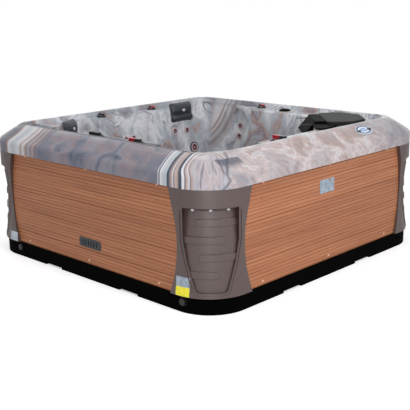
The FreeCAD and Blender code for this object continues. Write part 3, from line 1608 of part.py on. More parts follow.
def skimmer_housing():
    """Deck flange, mouth channel and bucket in one moulding, cut flush with the tub's wall."""
    high = value(FLANGE_TOP)
    flange = prism(lid_corners(S.skimmer_flange), DECK_LEVEL, high)
    front = block((-S.hood_half_width, value(HOOD_FRONT), DECK_LEVEL), (S.hood_half_width, S.filter_centre, high))
    outer = flange.multiFuse([front, channel_form(0, high)])
    pin = Part.makeCylinder(S.weir_pin_radius + S.pin_clearance, 2 * S.lid_half_width,
                            Vector(-S.lid_half_width, value(WEIR_LINE), value(WEIR_AXIS_LEVEL)), Vector(1, 0, 0))
    housing = placed(outer.cut(channel_form(S.bucket_wall, high + S.cut_overrun)).cut(pin), SKIMMER)
    housing = housing.cut(cavity_form(0)).removeSplitter()
    return max(housing.Solids, key=lambda solid: solid.Volume)


def skimmer_hood():
    body = new_body("skimmer_hood", SKIMMER)
    sketch = new_sketch(body, "outline", "XY_Plane", FLANGE_TOP)
    draw_rectangle(sketch, "-hood_half_width", HOOD_FRONT, "hood_half_width", "lid_front - running_gap")
    add_feature(body, "Pad", "block", sketch, "hood_height")
    add_edge_finish(body, "Fillet", "round_edges", is_upright, "2 * hood_edge")
    add_edge_finish(body, "Fillet", "round_top", at_level(value(f"{FLANGE_TOP} + hood_height")), "hood_edge")
    return body


def skimmer_grille():
    body = new_body("skimmer_grille", SKIMMER)
    half = "(mouth_half_width - bucket_wall - running_gap)"
    front = "(filter_front + slat_setback)"
    rear = f"{front} + slat_depth"
    sketch = new_sketch(body, "sill_outline", "XY_Plane", MOUTH_SILL)
    draw_rectangle(sketch, f"-{half}", front, half, rear)
    add_feature(body, "Pad", "sill", sketch, "slat_rail")
    sketch = new_sketch(body, "slat_outline", "XY_Plane", MOUTH_SILL)
    draw_rectangle(sketch, f"-{half}", front, f"-{half} + slat_width", rear)
    slat = add_feature(body, "Pad", "slat", sketch, f"{FLANGE_TOP} - {MOUTH_SILL}")
    along = (origin_item(body, "X_Axis"), [""])
    slats = add_pattern(body, "LinearPattern", "slats", slat, "slat_count", Direction=along, Mode="Spacing")
    bind(slats, Offset=f"(2 * {half} - slat_width) / (slat_count - 1)")
    sketch = new_sketch(body, "head_outline", "XY_Plane", f"{FLANGE_TOP} - slat_rail")
    draw_rectangle(sketch, f"-{half}", front, half, rear)
    add_feature(body, "Pad", "head", sketch, "slat_rail")
    return body


def weir_door():
    """Flap on a pin through the sides of the mouth."""
    across, line, level = (1, 0, 0), WEIR_LINE, WEIR_AXIS_LEVEL
    pin = new_rod("weir_pin", "weir_pin_radius", "2 * mouth_half_width",
                  ("-mouth_half_width", line, level), across)
    roll = new_rod("weir_roll", "weir_thickness / 2", "2 * weir_half_width",
                   ("-weir_half_width", line, level), across)
    flap = new_box("weir_flap", ("2 * weir_half_width", "weir_thickness", "weir_height"),
                   ("-weir_half_width", f"{line} - weir_thickness / 2", level))
    door = join("weir_door", [pin, roll, flap])
    door.Placement = SKIMMER
    return door


def filter_lid():
    low = value(f"{FLANGE_TOP} + seat_gap")
    lid = prism(lid_corners(0), low, low + S.lid_height)
    lid = lid.makeFillet(S.lid_edge, level_edges(lid, low + S.lid_height))
    return lid.cut(prism(lid_corners(-S.lid_edge), low - S.cut_overrun, low + S.lid_height - S.lid_edge))


def filter_cartridge():
    """Pleated paper round a core, between two end caps."""
    low = S.bucket_floor_level + S.bucket_wall
    high = low + S.cartridge_length
    steps = 2 * int(S.pleat_count)
    points = []
    for step in range(steps + 1):
        radius = S.cartridge_radius - (S.pleat_depth if step % 2 else 0)
        angle = 2 * math.pi * step / steps
        points.append(Vector(radius * math.cos(angle), radius * math.sin(angle), low))
    points[-1] = points[0]
    pleats = Part.Face(Part.makePolygon(points)).extrude(UP * S.cartridge_length)
    caps = [cylinder(S.cartridge_radius, low, low + S.cartridge_cap_height),
            cylinder(S.cartridge_radius, high - S.cartridge_cap_height, high)]
    core = cylinder(S.cartridge_core_radius, low - S.cut_overrun, high + S.cut_overrun)
    return pleats.multiFuse(caps).cut(core)


node(solid_feature("skimmer_housing", skimmer_housing()))
node(skimmer_hood())
node(skimmer_grille())
node(weir_door())
node(solid_feature("filter_lid", filter_lid(), SKIMMER))
bucket_middle = SKIMMER.multVec(Vector(0, S.filter_centre, 0))
node(solid_feature("filter_cartridge", filter_cartridge(), Placement(bucket_middle, Rotation())))


# Footwell: two suction covers, a floor drain and a lamp

def suction_cover(name, frame):
    outer, high, wall = "suction_radius", "suction_height", "strainer_wall"
    body = turned_body(name, [
        (outer, "0"), (outer, f"{high} / 2"), (f"{outer} - {high} / 2", high), ("0", high),
        ("0", f"{high} - {wall}"), (f"{outer} - {high} / 2 - {wall}", f"{high} - {wall}"),
        (f"{outer} - {wall}", f"{high} / 2"), (f"{outer} - {wall}", "0"),
    ], frame)
    sketch = new_sketch(body, "hole_outline", "XY_Plane", high)
    draw_circle(sketch, "suction_hole_radius", "suction_ring_radius", "0")
    hole = add_feature(body, "Pocket", "hole", sketch, f"{high} / 2")
    axis = (origin_item(body, "Z_Axis"), [""])
    add_pattern(body, "PolarPattern", "holes", hole, "suction_hole_count", Axis=axis)
    return body


def floor_drain():
    outer, high, neck = "floor_drain_radius", "floor_drain_height", "floor_drain_neck"
    return turned_body("floor_drain", [
        ("0", "-floor_drain_length"), (neck, "-floor_drain_length"), (neck, "0"), (outer, "0"),
        (outer, f"{high} / 2"), (f"{outer} - {high} / 2", high), ("0", high),
    ], FLOOR_DRAIN)


covers = [suction_cover(f"suction_cover_{n}", frame) for n, frame in enumerate(SUCTIONS, start=1)]
node(group("footwell_strainers", covers + [floor_drain()]))
node(turned_body("footwell_lamp", [
    ("0", "-lamp_depth"), ("lamp_lens_radius", "-lamp_depth"), ("lamp_lens_radius", "0"), ("lamp_radius", "0"),
    ("lamp_radius", "lamp_ring_height"), ("lamp_lens_radius", "lamp_ring_height"),
    ("lamp_lens_radius - lamp_ring_height", "lamp_lens_height"), ("0", "lamp_lens_height"),
], LAMP))


# Pumps and their pipes, mirrored about the middle of the front

WALL_STEEPNESS = "(footwell_lean_run / (bench_level - footwell_floor_level))"
PUMP_LEVEL = (
    f"(suction_level - {WALL_STEEPNESS} * (pump_line - footwell_half"
    f" + {WALL_STEEPNESS} * (bench_level - suction_level)))"
)
DISCHARGE_LEVEL = f"({PUMP_LEVEL} + volute_radius + socket_length)"


def pipe_form(points, radius):
    """Round pipe along straight runs joined by bends."""
    edges, start = [], points[0]
    for before, corner, after in zip(points, points[1:], points[2:]):
        arriving, leaving = (before - corner).normalize(), (after - corner).normalize()
        half_angle = arriving.getAngle(leaving) / 2
        reach = S.pipe_bend_radius / math.tan(half_angle)
        centre = corner + (arriving + leaving).normalize() * (S.pipe_bend_radius / math.sin(half_angle))
        middle = centre + (corner - centre).normalize() * S.pipe_bend_radius
        edges.append(Part.LineSegment(start, corner + arriving * reach).toShape())
        edges.append(Part.Arc(corner + arriving * reach, middle, corner + leaving * reach).toShape())
        start = corner + leaving * reach
    edges.append(Part.LineSegment(start, points[-1]).toShape())
    profile = Part.Wire(Part.Circle(points[0], points[1] - points[0], radius).toShape())
    return Part.Wire(edges).makePipeShell([profile], True, False)


def suction_pipe(frame, side):
    neck = placed(cylinder(S.suction_neck_radius, -S.suction_neck_length, 0), frame)
    start = frame.multVec(Vector(0, 0, -S.suction_neck_length / 2))
    corner = Vector(start.x, -S.pump_line, value(PUMP_LEVEL))
    inlet = Vector(side * (S.pump_at - S.volute_length / 2 - S.socket_length), -S.pump_line, value(PUMP_LEVEL))
    return neck.fuse(pipe_form([start, corner, inlet], S.pipe_radius)).removeSplitter()


def pressure_pipe(side, diverter):
    foot = Vector(side * S.pump_at, -S.pump_line, 0)
    valve_bottom = diverter.Base.z - S.shell_wall - S.diverter_valve_height
    below = Vector(diverter.Base.x, diverter.Base.y, 0)
    levels = (value(DISCHARGE_LEVEL), S.riser_level, S.riser_level, valve_bottom)
    points = [place + UP * level for place, level in zip((foot, foot, below, below), levels)]
    return pipe_form(points, S.pipe_radius)


def wet_end(side):
    """Volute with its inlet towards the middle and its discharge upwards."""
    name, axis = ("left", "-") if side < 0 else ("right", "")
    outward = (side, 0, 0)
    face = f"(pump_at - volute_length / 2)"
    volute = new_rod(f"volute_{name}", "volute_radius", "volute_length",
                     (f"{axis}{face}", "-pump_line", PUMP_LEVEL), outward)
    inlet = new_rod(f"volute_inlet_{name}", "socket_radius", "socket_length",
                    (f"{axis}({face} - socket_length)", "-pump_line", PUMP_LEVEL), outward)
    outlet = new_rod(f"volute_outlet_{name}", "socket_radius", "volute_radius + socket_length",
                     (f"{axis}pump_at", "-pump_line", PUMP_LEVEL))
    return join(f"wet_end_{name}", [volute, inlet, outlet])


def pump_motor(side):
    """Finned motor on a foot; its own Z runs away from the wet end and its Y points down."""
    name = "left" if side < 0 else "right"
    origin = Vector(side * (S.pump_at + S.volute_length / 2), -S.pump_line, value(PUMP_LEVEL))
    frame = frame_at(origin, Vector(0, -side, 0), Vector(side, 0, 0))
    length, total = "motor_length", "motor_length + fan_cover_length"
    body = turned_body(f"motor_{name}", [
        ("0", "0"), ("motor_radius", "0"), ("motor_radius", length), ("fan_cover_radius", length),
        ("fan_cover_radius", total), ("0", total),
    ], frame)
    sketch = new_sketch(body, "fin_outline", "XY_Plane", "motor_fin_width")
    draw_rectangle(sketch, "motor_radius - motor_fin_width", "-motor_fin_width / 2",
                   "motor_radius + motor_fin_height", "motor_fin_width / 2")
    fin = add_feature(body, "Pad", "fin", sketch, f"{length} - 2 * motor_fin_width")
    add_pattern(body, "PolarPattern", "fins", fin, "motor_fin_count", Axis=(origin_item(body, "Z_Axis"), [""]))
    sketch = new_sketch(body, "foot_outline", "XY_Plane", "(motor_length - motor_foot_length) / 2")
    draw_rectangle(sketch, "-motor_foot_width / 2", "motor_radius / 2", "motor_foot_width / 2",
                   f"{PUMP_LEVEL} - base_floor")
    add_feature(body, "Pad", "foot", sketch, "motor_foot_length")
    return body


node(solid_feature("suction_pipes", Part.makeCompound(
    [suction_pipe(frame, side) for frame, side in zip(SUCTIONS, (-1, 1))])))
node(solid_feature("pressure_pipes", Part.makeCompound(
    [pressure_pipe(-1, DIVERTERS[2]), pressure_pipe(1, DIVERTERS[1])])))
node(group("pump_motors", [pump_motor(side) for side in (-1, 1)]))
node(group("pump_wet_ends", [wet_end(side) for side in (-1, 1)]))


# Control box on the tray with the heater on its lid

BOX_TOP = "(base_floor + box_height + box_lid_height)"
HEATER_LEVEL = f"({BOX_TOP} + heater_union_radius)"
control_case = new_box("control_case", ("box_width", "box_depth", "box_height"),
                       ("-box_width / 2", "-box_line - box_depth / 2", "base_floor"))
control_lid = new_box("control_lid",
                      ("box_width + 2 * box_lid_height", "box_depth + box_lid_height", "box_lid_height"),
                      ("-box_width / 2 - box_lid_height", "-box_line - (box_depth + box_lid_height) / 2",
                       "base_floor + box_height"))
node(group("control_box", [control_case, control_lid]))


def heater():
    along = (1, 0, 0)
    half = "heater_length / 2"
    pieces = [new_rod("heater_tube", "heater_radius", "heater_length",
                      (f"-{half}", "-box_line", HEATER_LEVEL), along)]
    for name, start in (("left", f"-{half}"), ("right", f"{half} - heater_union_length")):
        pieces.append(new_rod(f"heater_union_{name}", "heater_union_radius", "heater_union_length",
                              (start, "-box_line", HEATER_LEVEL), along))
    for name, middle in (("left", "-box_width / 3"), ("right", "box_width / 3")):
        pieces.append(new_box(f"heater_foot_{name}", ("heater_foot_width", "heater_radius", "heater_union_radius"),
                              (f"{middle} - heater_foot_width / 2", "-box_line - heater_radius / 2", BOX_TOP)))
    return join("heater", pieces)


node(heater())


# Every object is up to date, every sub-part is a valid solid or group of solids, then all are written

doc.recompute()
for item in doc.Objects:
    if "Invalid" in item.State or "Error" in item.State:
        raise RuntimeError(f"{item.Name} is {item.State}")
for item in NODES:
    if item.Shape.isNull() or not item.Shape.isValid() or not item.Shape.Solids:
        raise RuntimeError(f"{item.Label} has no valid solid")
os.makedirs("parts", exist_ok=True)
for item in NODES:
    item.Shape.exportStep(f"parts/{item.Label}.step")
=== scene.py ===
"""Looks of a square hot tub: marbled acrylic, teak-look cabinet, dark mouldings, pillows, jets, controls."""

import json
import math

import bmesh
import bpy
from mathutils import Matrix, Vector


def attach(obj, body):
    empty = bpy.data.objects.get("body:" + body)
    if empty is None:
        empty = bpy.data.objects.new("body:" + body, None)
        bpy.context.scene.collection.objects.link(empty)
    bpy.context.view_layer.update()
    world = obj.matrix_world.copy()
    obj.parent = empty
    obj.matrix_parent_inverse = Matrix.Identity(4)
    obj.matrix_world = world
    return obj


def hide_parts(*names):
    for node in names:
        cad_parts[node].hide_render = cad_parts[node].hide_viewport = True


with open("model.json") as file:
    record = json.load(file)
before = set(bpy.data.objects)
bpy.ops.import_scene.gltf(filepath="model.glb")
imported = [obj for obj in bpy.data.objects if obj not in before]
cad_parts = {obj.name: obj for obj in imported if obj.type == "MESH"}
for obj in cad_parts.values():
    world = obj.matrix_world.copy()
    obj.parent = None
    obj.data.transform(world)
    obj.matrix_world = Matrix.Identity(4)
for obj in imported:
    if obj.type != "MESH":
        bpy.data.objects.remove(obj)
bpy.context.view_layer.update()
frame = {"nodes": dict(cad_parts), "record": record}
nodes = frame["nodes"]


# Camera: the photograph's place, fitted to the tub's corners

CAMERA_PLACE = Vector((3.92806, -4.05569, 1.7200))
CAMERA_TURN = math.radians(44.18)
CAMERA_TILT = math.radians(14.42)
CAMERA_ROLL = math.radians(-0.96)
PIXELS_WIDE = 410
FOCAL_PIXELS = 836.19
SENSOR = 36
FAR_CLIP = 60


def aim_camera():
    flat = math.cos(CAMERA_TILT)
    back = Vector((math.sin(CAMERA_TURN) * flat, -math.cos(CAMERA_TURN) * flat, math.sin(CAMERA_TILT)))
    level = Vector((math.cos(CAMERA_TURN), math.sin(CAMERA_TURN), 0))
    rise = back.cross(level)
    right = math.cos(CAMERA_ROLL) * level + math.sin(CAMERA_ROLL) * rise
    up = math.cos(CAMERA_ROLL) * rise - math.sin(CAMERA_ROLL) * level
    lens = bpy.data.cameras.new("photo_camera")
    lens.sensor_width = SENSOR
    lens.lens = SENSOR * FOCAL_PIXELS / PIXELS_WIDE
    lens.clip_end = FAR_CLIP
    camera = bpy.data.objects.new("photo_camera", lens)
    bpy.context.scene.collection.objects.link(camera)
    turn = Matrix((right, up, back)).transposed()
    camera.matrix_world = Matrix.Translation(CAMERA_PLACE) @ turn.to_4x4()
    bpy.context.scene.camera = camera


aim_camera()


# Places on the tub in metres, from its middle and the ground

RIM_HALF = 1.065
DECK_LEVEL = 0.838
CORNER_AT = 0.795
SPEAKER_AT = (0.0639, 0.7828)
TOPSIDE_AT = (0.97695, 0.4441)
TOPSIDE_HALF = (0.0367, 0.0875)
AIR_KNOBS = ((-0.82218, -0.23217), (-0.82218, 0.26199), (-0.20448, 0.83709))
DIVERTER_KNOBS = ((0.80833, -0.19489), (0.20022, -0.80833), (-0.17786, -0.80833))
KNOB_TOP = 0.854
IN_PLAN = (1, 1, 0)


# Colours as they are seen, from 0 to 255, and as shaders take them

def tone(red, green, blue):
    def linear(level):
        level /= 255
        return level / 12.92 if level <= 0.04045 else ((level + 0.055) / 1.055) ** 2.4

    return (linear(red), linear(green), linear(blue), 1)


class Paint:
    """A procedural material whose nodes are added one by one."""

    def __init__(self, name):
        self.material = bpy.data.materials.new(name)
        self.material.use_nodes = True
        self.tree = self.material.node_tree
        self.shader = self.tree.nodes["Principled BSDF"]
        self.place = self.add("TexCoord").outputs["Object"]

    def add(self, kind, sockets=None, **settings):
        node = self.tree.nodes.new("ShaderNode" + kind)
        for key, given in settings.items():
            setattr(node, key, given)
        for key, given in (sockets or {}).items():
            self.feed(node.inputs[key], given)
        return node

    def feed(self, socket, given):
        if isinstance(given, bpy.types.NodeSocket):
            self.tree.links.new(given, socket)
        else:
            socket.default_value = given

    def finish(self, **given):
        for key, setting in given.items():
            self.feed(self.shader.inputs[key.replace("_", " ")], setting)
        return self.material

    def math(self, operation, first, second=0.0, third=0.0):
        return self.add("Math", {0: first, 1: second, 2: third}, operation=operation).outputs[0]

    def negative(self, level):
        return self.math("MULTIPLY", level, -1.0)

    def together(self, *shares):
        """Product of several shares."""
        product = shares[0]
        for share in shares[1:]:
            product = self.math("MULTIPLY", product, share)
        return product

    def vector(self, operation, first, second):
        return self.add("VectorMath", {0: first, 1: second}, operation=operation).outputs["Vector"]

    def scaled(self, place, amount):
        return self.add("VectorMath", {0: place, "Scale": amount}, operation="SCALE").outputs["Vector"]

    def distance(self, place, centre):
        return self.add("VectorMath", {0: place, 1: centre}, operation="DISTANCE").outputs["Value"]

    def distance_in_plan(self, place, centre):
        return self.distance(self.vector("MULTIPLY", place, IN_PLAN), centre)

    def parts(self, place):
        return self.add("SeparateXYZ", {0: place}).outputs

    def noise(self, place, scale, detail=3.0, roughness=0.5):
        sockets = {"Vector": place, "Scale": scale, "Detail": detail, "Roughness": roughness}
        return self.add("TexNoise", sockets).outputs

    def streak(self, level, scale, detail):
        sockets = {"W": level, "Scale": scale, "Detail": detail}
        return self.add("TexNoise", sockets, noise_dimensions="1D").outputs["Fac"]

    def step(self, level, none, full, start=0.0, end=1.0):
        """Goes smoothly from start to end as the level goes from none to full."""
        sockets = {"Value": level, "From Min": none, "From Max": full, "To Min": start, "To Max": end}
        return self.add("MapRange", sockets, interpolation_type="SMOOTHSTEP").outputs["Result"]

    def between(self, level, low, low_full, high_full, high):
        """Full between two limits, fading outside them."""
        return self.together(self.step(level, high, high_full), self.step(level, low, low_full))

    def ramp(self, level, stops):
        node = self.add("ValToRGB", {"Fac": level})
        first, last = node.color_ramp.elements
        first.position, first.color = stops[0]
        last.position, last.color = stops[-1]
        for position, colour in stops[1:-1]:
            node.color_ramp.elements.new(position).color = colour
        return node.outputs["Color"]

    def mix(self, share, first, second):
        node = self.add("Mix", data_type="RGBA")
        self.feed(node.inputs[0], share)
        self.feed(node.inputs[6], first)
        self.feed(node.inputs[7], second)
        return node.outputs[2]

    def over(self, colour, coat, share, strength):
        """The colour under a coat that covers a share of it."""
        return self.mix(self.math("MULTIPLY", share, strength), colour, coat)

    def bump(self, height, depth, strength):
        sockets = {"Height": height, "Distance": depth, "Strength": strength}
        return self.add("Bump", sockets).outputs["Normal"]

    def warped(self, place, scale, amount):
        """The place moved about by a soft noise, by amount at most."""
        drift = self.vector("SUBTRACT", self.noise(place, scale, detail=2.0)["Color"], (0.5, 0.5, 0.5))
        return self.vector("ADD", place, self.scaled(drift, amount))


# Colours of the acrylic, and its bands in rings round three centres, by share of the outermost ring's radius

PALE = tone(168, 170, 178)
ICE = tone(182, 188, 194)
WHITE = tone(216, 216, 220)
SLATE = tone(80, 85, 100)
STEEL = tone(112, 116, 130)
MAUVE = tone(140, 128, 134)
BEIGE = tone(176, 156, 150)
ROSE = tone(190, 172, 170)
PINK = tone(180, 162, 160)
PEARL = tone(196, 184, 184)
SILVER = tone(200, 194, 200)
TAN = tone(150, 126, 116)
DUSK = tone(120, 120, 132)
HAZE = tone(138, 136, 146)
# Grey of the clouds' thin outlines, also used for a painted shadow line along the front crest
OUTLINE_AND_SHADOW_GREY = tone(84, 82, 92)
BAND_CENTRE = (0.95, -0.95, 0.0)
BAND_REACH = 0.308
BANDS = (
    (0.0, MAUVE), (0.2, MAUVE), (0.3, PALE), (0.35, BEIGE), (0.37, STEEL), (0.385, WHITE), (0.4, ROSE),
    (0.43, BEIGE), (0.445, SLATE), (0.46, WHITE), (0.49, WHITE), (0.5, SLATE), (0.54, SLATE), (0.56, BEIGE),
    (0.6, ROSE), (0.63, MAUVE), (0.65, WHITE), (0.67, BEIGE), (0.71, MAUVE), (0.73, SLATE), (0.765, SLATE),
    (0.78, ICE), (0.85, ICE), (0.93, WHITE), (0.945, SLATE), (0.96, STEEL), (0.975, WHITE), (1.0, STEEL),
)
END_CENTRE = (-1.0, -0.98, 0.0)
END_REACH = 0.6
END_BANDS = (
    (0.0, MAUVE), (0.34, STEEL), (0.39, TAN), (0.42, WHITE), (0.5, ICE), (0.6, WHITE), (0.64, BEIGE),
    (0.68, WHITE), (0.73, TAN), (0.77, PALE), (0.81, MAUVE), (0.85, BEIGE), (0.88, STEEL), (0.91, MAUVE),
    (0.95, STEEL), (1.0, SLATE),
)
SWEEP_CENTRE = (-1.0, 0.78, 0.95)
SWEEP_REACH = 0.58
SWEEP_BANDS = (
    (0.0, PALE), (0.45, ICE), (0.62, WHITE), (0.7, WHITE), (0.73, TAN), (0.76, WHITE), (0.79, MAUVE),
    (0.83, ICE), (0.86, BEIGE), (0.89, STEEL), (0.92, BEIGE), (0.96, PALE), (1.0, MAUVE),
)
CLOUDS = (
    (0.3, STEEL), (0.36, MAUVE), (0.41, PALE), (0.46, WHITE), (0.5, ICE), (0.54, PALE), (0.57, BEIGE),
    (0.61, MAUVE), (0.66, PALE), (0.72, TAN),
)
FINE_WISPS = (
    (0.3, MAUVE), (0.38, PALE), (0.43, PINK), (0.48, PEARL), (0.53, PINK), (0.58, BEIGE), (0.64, PALE),
    (0.72, STEEL),
)
BROAD_WISPS = (
    (0.32, STEEL), (0.4, MAUVE), (0.45, PALE), (0.49, PINK), (0.53, WHITE), (0.57, PINK), (0.62, TAN),
    (0.7, MAUVE),
)
COOL_STREAKS = (
    (0.3, SLATE), (0.4, STEEL), (0.46, DUSK), (0.52, MAUVE), (0.58, HAZE), (0.64, STEEL), (0.72, SLATE),
)
TIP_STREAKS = (
    (0.3, STEEL), (0.38, MAUVE), (0.44, PALE), (0.5, SILVER), (0.55, ROSE), (0.62, PALE), (0.7, MAUVE),
)


# Where the acrylic's colours lie: in a pair the share is none at the first place and full at the second, and
# in a group of four it is full between the middle two

RIM_OUTSIDE = (0.84, 0.87)
RIGHT_SLOPE_X = (0.87, 0.95)
RIGHT_SLOPE_Y = (1.02, 0.86)
RIGHT_GREYER_Y = (0.3, 0.8)
NEAR_CORNER_Y = (-0.84, -0.87)
FRONT_SLOPE_Y = (-0.87, -0.95)
FRONT_END_Y = (-0.6, -0.8)
SEAM_AT = 0.13
SEAM_LEFT = (0.13, 0.11)
SEAM_WIDTH = (0.02, 0.004)
SEAM_REACH = (0.2, 0.15)
SEAM_WOBBLE = (0.14, -0.07)
TIP_REACH = (0.115, 0.06)
SWEEP_X = (-0.77, -0.7)
SWEEP_Z = (0.88, 0.86)
# Painted shadow: a dark grey line along the foot of the front crest
CREST_SHADOW_X = (0.82, 0.74)
CREST_SHADOW_Y = (-0.925, -0.905, -0.845, -0.83)
CREST_SHADOW_Z = (0.832, 0.836)
# Painted shade: the deck ledge beside the front crest's foot, in slate grey
NEAR_DECK_SHADE_Y = (-0.9, -0.885, -0.75, -0.72)
NEAR_DECK_SHADE_Z = (0.8, 0.83, 0.842, 0.848)
FAR_RIMS_OUT = (0.82, 0.87)
FAR_RIMS_Z = (0.8, 0.836)
FAR_RIMS_DIAGONAL = (-1.4, -1.1, 0.6, 0.9)
GLOSS_Z = (0.842, 0.85)
WELL_GLOSS, RIM_GLOSS = 0.06, 0.35
# Less gloss on the painted shadow line and on the painted shade beside it
CREST_SHADOW_GLOSS, NEAR_DECK_SHADE_GLOSS = 0.05, 0.1


# Noises of the acrylic: scale, detail and roughness; drifts: scale and amount

BROAD_DRIFT, FINE_DRIFT = (1.3, 0.6), (4.0, 0.14)
SWEEP_DRIFT, END_DRIFT, BAND_DRIFT = (3.0, 0.05), (3.0, 0.06), (3.0, 0.03)
CLOUD_NOISE = (2.3, 5.0, 0.58)
OUTLINE_NOISE = (1.5, 3.0, 0.45)
OUTLINE_TURNS = 26.0
OUTLINE_WIDTH = (0.11, 0.0)
OUTLINE_PATCHES = (2.6, 1.0)
OUTLINE_PATCH_SHARE = (0.42, 0.6)
OUTLINE_RISE = (0.6, 0.84, 0.35, 0.85)
FINE_WISP_NOISE = (2.6, 6.0, 0.68)
BROAD_WISP_NOISE = (2.4, 4.0, 0.6)
WISP_STRETCH = (3.0, 6.0, 8.0)
WISP_SLANT = 0.8
BROAD_WISP_SCALE = 1.7
COOL_NOISE = (1.0, 4.0, 0.5)
COOL_STRETCH = (5.0, 5.0, 2.4)
TIP_NOISE = (3.4, 4.0, 0.55)
TIP_TURN_SCALE, TIP_FALL_SCALE = 3.2, 3.0
WOBBLE_NOISE = (11.0, 1.0)
SWEEP_FADE, END_FADE, BAND_FADE = 0.03, 0.05, 0.005


def cloudy_walls(paint, place, curl):
    """Clouds with thin dark outlines, more of the lines near the rim, and arcs in the far corner."""
    colour = paint.ramp(paint.noise(curl, *CLOUD_NOISE)["Fac"], CLOUDS)
    field = paint.math("MULTIPLY", paint.noise(curl, *OUTLINE_NOISE)["Fac"], OUTLINE_TURNS)
    outline = paint.step(paint.math("PINGPONG", field, 0.5), *OUTLINE_WIDTH)
    level = paint.parts(place)["Z"]
    patches = paint.step(paint.noise(place, *OUTLINE_PATCHES)["Fac"], *OUTLINE_PATCH_SHARE)
    share = paint.together(patches, paint.step(level, *OUTLINE_RISE))
    colour = paint.over(colour, OUTLINE_AND_SHADOW_GREY, outline, share)
    sweep = paint.distance(paint.warped(place, *SWEEP_DRIFT), SWEEP_CENTRE)
    arcs = paint.ramp(paint.math("DIVIDE", sweep, SWEEP_REACH), SWEEP_BANDS)
    inside = paint.together(
        paint.step(sweep, SWEEP_REACH, SWEEP_REACH - SWEEP_FADE),
        paint.step(level, *SWEEP_Z),
        paint.step(paint.parts(place)["X"], *SWEEP_X),
    )
    return paint.over(colour, arcs, inside, strength=0.75)


def rosy_wisps(paint, curl):
    """Fine pinkish streaks that run down across the rim, among grey and pale patches."""
    slant = paint.parts(paint.vector("MULTIPLY", curl, WISP_STRETCH))
    sweep = paint.math("ADD", paint.math("MULTIPLY", slant["Y"], WISP_SLANT), slant["Z"])
    across = paint.add("CombineXYZ", {"X": slant["X"], "Y": sweep}).outputs[0]
    fine = paint.ramp(paint.noise(across, *FINE_WISP_NOISE)["Fac"], FINE_WISPS)
    patches = paint.noise(paint.scaled(curl, BROAD_WISP_SCALE), *BROAD_WISP_NOISE)["Fac"]
    return paint.mix(0.5, fine, paint.ramp(patches, BROAD_WISPS))


def right_slope(paint, colour, axis, curl, left_of_seam):
    """Rosy wisps on the right side of the rim, greyer towards its far end."""
    right_of_seam = paint.math("SUBTRACT", 1.0, left_of_seam)
    around = paint.together(right_of_seam, paint.step(axis["Y"], *NEAR_CORNER_Y))
    straight = paint.together(paint.step(axis["X"], *RIGHT_SLOPE_X), paint.step(axis["Y"], *RIGHT_SLOPE_Y))
    on_right = paint.math("MAXIMUM", straight, around)
    colour = paint.over(colour, rosy_wisps(paint, curl), on_right, strength=0.95)
    greyer = paint.together(on_right, paint.step(axis["Y"], *RIGHT_GREYER_Y))
    return paint.over(colour, STEEL, greyer, strength=0.45)


def front_slope(paint, colour, place, axis, curl, left_of_seam):
    """Cool streaks on the front of the rim, with bands at its left end."""
    upright = paint.noise(paint.vector("MULTIPLY", curl, COOL_STRETCH), *COOL_NOISE)["Fac"]
    on_front = paint.together(paint.step(axis["Y"], *FRONT_SLOPE_Y), left_of_seam)
    colour = paint.over(colour, paint.ramp(upright, COOL_STREAKS), on_front, strength=0.95)
    from_end = paint.distance_in_plan(paint.warped(place, *END_DRIFT), END_CENTRE)
    end_bands = paint.ramp(paint.math("DIVIDE", from_end, END_REACH), END_BANDS)
    in_reach = paint.step(from_end, END_REACH, END_REACH - END_FADE)
    at_end = paint.together(in_reach, paint.step(axis["Y"], *FRONT_END_Y))
    return paint.over(colour, end_bands, at_end, strength=0.85)


def near_corner(paint, colour, place, axis, past_seam, left_of_seam):
    """Bands round the near corner, a streaky tip between them and a dark seam."""
    outside = paint.step(paint.math("MAXIMUM", axis["X"], paint.negative(axis["Y"])), *RIM_OUTSIDE)
    wavy = paint.warped(place, *BAND_DRIFT)
    reach = paint.distance_in_plan(wavy, BAND_CENTRE)
    banded = paint.ramp(paint.math("DIVIDE", reach, BAND_REACH), BANDS)
    near = paint.together(paint.step(reach, BAND_REACH, BAND_REACH - BAND_FADE), left_of_seam)
    colour = paint.over(colour, banded, near, outside)
    spoke = paint.parts(paint.vector("SUBTRACT", wavy, (CORNER_AT, -CORNER_AT, 0.0)))
    turn = paint.math("MULTIPLY", paint.math("ARCTAN2", spoke["Y"], spoke["X"]), TIP_TURN_SCALE)
    fall = paint.math("MULTIPLY", axis["Z"], TIP_FALL_SCALE)
    fuzz = paint.noise(paint.add("CombineXYZ", {"X": turn, "Y": fall}).outputs[0], *TIP_NOISE)["Fac"]
    tip = paint.together(paint.step(reach, *TIP_REACH), outside)
    colour = paint.over(colour, paint.ramp(fuzz, TIP_STREAKS), tip, strength=0.7)
    seam = paint.step(paint.math("ABSOLUTE", paint.math("SUBTRACT", past_seam, SEAM_AT)), *SEAM_WIDTH)
    seam = paint.together(seam, paint.step(reach, *SEAM_REACH))
    return paint.over(colour, SLATE, seam, strength=0.65)


